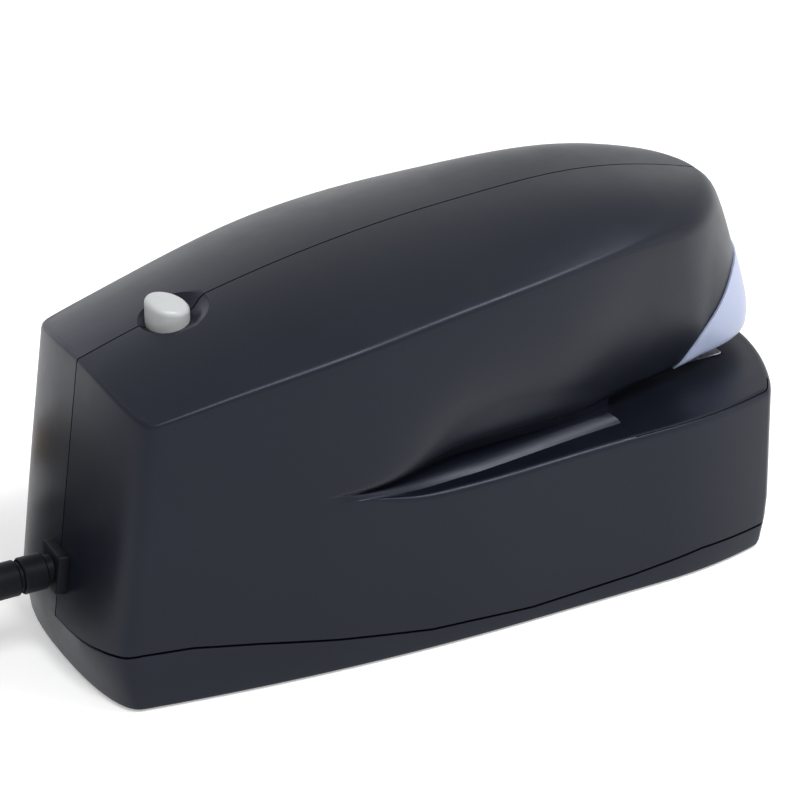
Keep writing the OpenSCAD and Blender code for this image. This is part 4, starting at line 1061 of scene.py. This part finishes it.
def make_housing():
    """The main housing and the near cover, parted by a thin seam."""
    shell = make_shell()
    skin = closed_form(0.6, *INSIDE)
    near = keep(copy(shell), near_region(SEAM_GAP, BASE_SEAM))
    main = cut(shell, near_region(0))
    anvil_low, anvil_high = node_box("anvil_plate")
    cut(main, block(anvil_low - 0.1, anvil_high + (0.1, 0.1, 3)))
    for foot in feet_places():
        cut(main, bar(FOOT_R + 0.1, FOOT_STAND - 1, node_box("feet")[1][2], (*foot, 0)))
    join(main, *housing_posts())
    for x, z in SCREWS:
        join(main, screw_boss(x, z, 1, skin))
        join(near, screw_boss(x, z, -1, skin))
    for x, z in SCREWS:
        sink = wall_y(x, z) - SCREW_SINK
        cut(main, turned([(SCREW_R + 0.1, -1), (SCREW_R + 0.1, sink), (SCREW_HEAD_R + 0.3, sink),
                          (SCREW_HEAD_R + 0.3, 60)], (x, 0, z), "Y", 40))
        cut(near, bar(SCREW_R + 0.02, -10, 1, (x, 0, z), "Y"))
    bpy.data.objects.remove(skin)
    finish_piece(main, "housing_body", "housing", "housing", HOUSING, "main_housing")
    finish_piece(near, "housing_cover", "housing", "housing", HOUSING, "near_cover")


def make_feet():
    """Four rubber pads with a softened edge and a moulded dimple."""
    high = node_box("feet")[1][2]
    profile = [(0, 0.35), (1.6, 0.35), (2.1, 0.0), (4.1, 0.0), (4.7, 0.2), (FOOT_R, 0.7)]
    profile += [(FOOT_R, high), (0, high)]
    pads = [turned(profile, (x, y, 0), "Z", 48) for x, y in feet_places()]
    finish_piece(join(*pads), "rubber_feet", "housing", "foot_rubber", RUBBER, "feet")


# ---- Nose, anvil and button ----

def make_nose():
    """The silver nose that slides out with the magazine."""
    skin = keep(closed_form(-NOSE_PROUD, 8, 40, 34), nose_region(0.25, UNDERSIDE))
    hollow = keep(closed_form(NOSE_WALL - NOSE_PROUD, 8, 40, 26), nose_region(-9, UNDERSIDE + NOSE_WALL))
    blade_low, blade_high = node_box("driver_blade")
    x = blade_low[0]
    slot = block((x - 0.2, blade_low[1] - 0.3, UNDERSIDE - 1), (x + 0.9, blade_high[1] + 0.3, UNDERSIDE + 3))
    cut(skin, hollow, slot)
    channel_low, channel_high = node_box("magazine_channel")
    half, top, floor = -channel_low[1], channel_low[2] + 8.6, UNDERSIDE + NOSE_WALL - 0.3
    seat_x = FRONT_X - NOSE_LINE + 3.9
    join(skin, block((seat_x, 1 - half, floor), (channel_high[0], half - 1, channel_low[2])),
         block((x + 0.9, -half, floor), (x + 5, half, top)))
    for s in (-1, 1):
        for at in (x + 1.6, x + 3.5):
            rib = [(7, floor), (12, floor), (12, floor + 0.7), (8, top - 3.5), (7, top - 3)]
            rings = [[(at + step, s * y, z) for y, z in rib[::s]] for step in (0, 1.2)]
            join(skin, weld(loft(rings)))
    finish_piece(skin, "silver_nose", "magazine", "nose", NOSE, "nose_cap")


def make_anvil():
    """The clinch plate: two hollowed pockets that curl the staple's legs in."""
    low, high = node_box("anvil_plate")
    middle_x = sum(node_box("driver_blade")[i][0] for i in (0, 1)) / 2
    corner, chamfer, outline = 1.2, 0.15, []
    for i, (x, y) in enumerate(((high[0], high[1]), (low[0], high[1]), (low[0], low[1]), (high[0], low[1]))):
        for k in range(6):
            a = math.radians(90 * i + 90 * k / 5)
            outline.append((x - math.copysign(corner, x - middle_x + 0.01) + corner * math.cos(a),
                            y - math.copysign(corner, y) + corner * math.sin(a)))
    inset = [(x - math.copysign(chamfer, x - middle_x), y - math.copysign(chamfer, y)) for x, y in outline]
    plate = loft([[(x, y, low[2]) for x, y in outline], [(x, y, high[2] - chamfer) for x, y in outline],
                  [(x, y, high[2]) for x, y in inset]])
    hollow = [(0.001, -3.2), (0.35, -2.6), (0.6, -1.2), (0.7, 0.3), (0.62, 1.8), (0.4, 2.9), (0.001, 3.3)]
    for s in (-1, 1):
        pocket = turned(hollow, (0, 0, 0), "Y", 24)
        place = Matrix.Translation((middle_x, s * 3.9, high[2] + 0.1))
        pocket.data.transform(place @ Matrix.Diagonal((1.4, 1, 1, 1)))
        cut(plate, pocket)
    finish_piece(plate, "clinch_plate", "housing", "bright_steel", BRIGHT, "anvil_plate")


CAP_RISE, CAP_GAP, CAP_ROUND = 4.7, 0.4, 1.5
CAP_SLANT, SLANT_X, SLANT_Y = 0.26, 0.88, -0.48


def make_button():
    """The release button: a domed cap that slants, a rim that holds it in, and its foot."""
    top, r, rim = DISH_Z + CAP_RISE, BUTTON_R - CAP_GAP, BUTTON_R + 0.8
    profile = [(0, PAD_Z - 1.3), (rim, PAD_Z - 1.3), (rim, PAD_Z - 0.1), (r, PAD_Z - 0.1)]
    for a in np.radians(range(0, 86, 12)):
        profile.append((r - CAP_ROUND * (1 - math.cos(a)), top - CAP_ROUND + CAP_ROUND * math.sin(a)))
    profile += [(r - 2.2, top + 0.14), (r - 3.1, top + 0.32), (r - 4.2, top + 0.46), (0, top + 0.52)]
    cap = turned(profile, (BUTTON_X, 0, 0), "Z", 72)
    for vertex in cap.data.vertices:
        across = (vertex.co.x - BUTTON_X) * SLANT_X + vertex.co.y * SLANT_Y
        vertex.co.z -= CAP_SLANT * across * min(1, max(0, (vertex.co.z - PAD_Z) / (top - PAD_Z)))
    foot = block((BUTTON_X - 3.3, 3.8, BUTTON_LOW[2]), (BUTTON_X - 1, BUTTON_HIGH[1], PAD_Z - 1.2))
    finish_piece(join(cap, foot), "release_cap", "button", "button", BUTTON, "release_button", sharp=38)


# ---- Strain relief ----

def make_relief():
    """A square flange, a round neck and slotted rings that taper along the lead."""
    start, pitch, long, groove_r = REAR_X - 2.4, 6.9, 5.9, 3.5
    rings = []
    for k in range(5):
        r, back = 4.5 - 0.13 * k, start - pitch * k
        rings += [(groove_r, back + 0.001), (r - 0.3, back), (r, back - 0.35), (r, back - long + 0.35),
                  (r - 0.3, back - long), (groove_r, back - long - 0.001)]
    neck = [(0, REAR_X + 6.5), (NECK_R, REAR_X + 6.5), (NECK_R, REAR_X + 0.6), (3.6, REAR_X + 0.599)]
    outline = neck + rings + [(3.4, EXIT[0]), (0, EXIT[0])]
    body = turned(outline, (0, 0, RELIEF_Z), "X", 48)
    half, plate = 5.3, []
    for depth, scale in ((0.05, 1.0), (-2.1, 1.0), (-2.45, 0.97), (-2.6, 0.92)):
        plate.append([(depth, u * scale, v * scale) for u, v in rounded_ring(half, half, power=9, sides=48)])
    flange = weld(loft(plate))
    flange.data.transform(Matrix.Translation((float(rear_face(RELIEF_Z)), 0, RELIEF_Z))
                          @ Matrix.Rotation(math.atan(REAR_SLOPE), 4, "Y"))
    join(body, flange)
    cut(body, bar(CORD_R + 0.02, EXIT[0] - 1, REAR_X + 7, (0, 0, RELIEF_Z), "X"))
    finish_piece(body, "lead_relief", "housing", "cord_skin", CORD_SKIN, "strain_relief")


make_housing()
make_feet()
make_nose()
make_anvil()
make_button()
make_relief()


# ---- Finishes of the CAD pieces that stay ----

STAYING = {
    "housing_screws": FASTENER, "chassis_plates": SHEET, "chassis_spacers": FASTENER,
    "chassis_screws": FASTENER, "arm_pivot_pin": BRIGHT, "drive_arm": SHEET, "arm_spring": SPRING,
    "hammer": BRIGHT, "driver_blade": BRIGHT, "driver_guide": INNER,
    "solenoid_frame": SHEET, "solenoid_coil": WINDING, "coil_bobbin": INNER, "plunger": BRIGHT,
    "magazine_channel": SHEET, "staple_rail": SHEET, "staple_strip": STAPLES,
    "pusher": INNER, "pusher_rod": BRIGHT, "pusher_spring": SPRING,
    "release_lever": SHEET, "lever_stud": FASTENER, "latch_bracket": SHEET, "button_spring": SPRING,
    "trigger_lever": INNER, "trigger_pin": BRIGHT, "microswitch": INNER,
    "circuit_board": BOARD, "board_parts": INNER, "terminal_block": TERMINAL,
    "cord_clamp": INNER, "cord_tail": CORD_SKIN,
}
for node, material in STAYING.items():
    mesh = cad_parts[node].data
    mesh.materials.clear()
    mesh.materials.append(material)
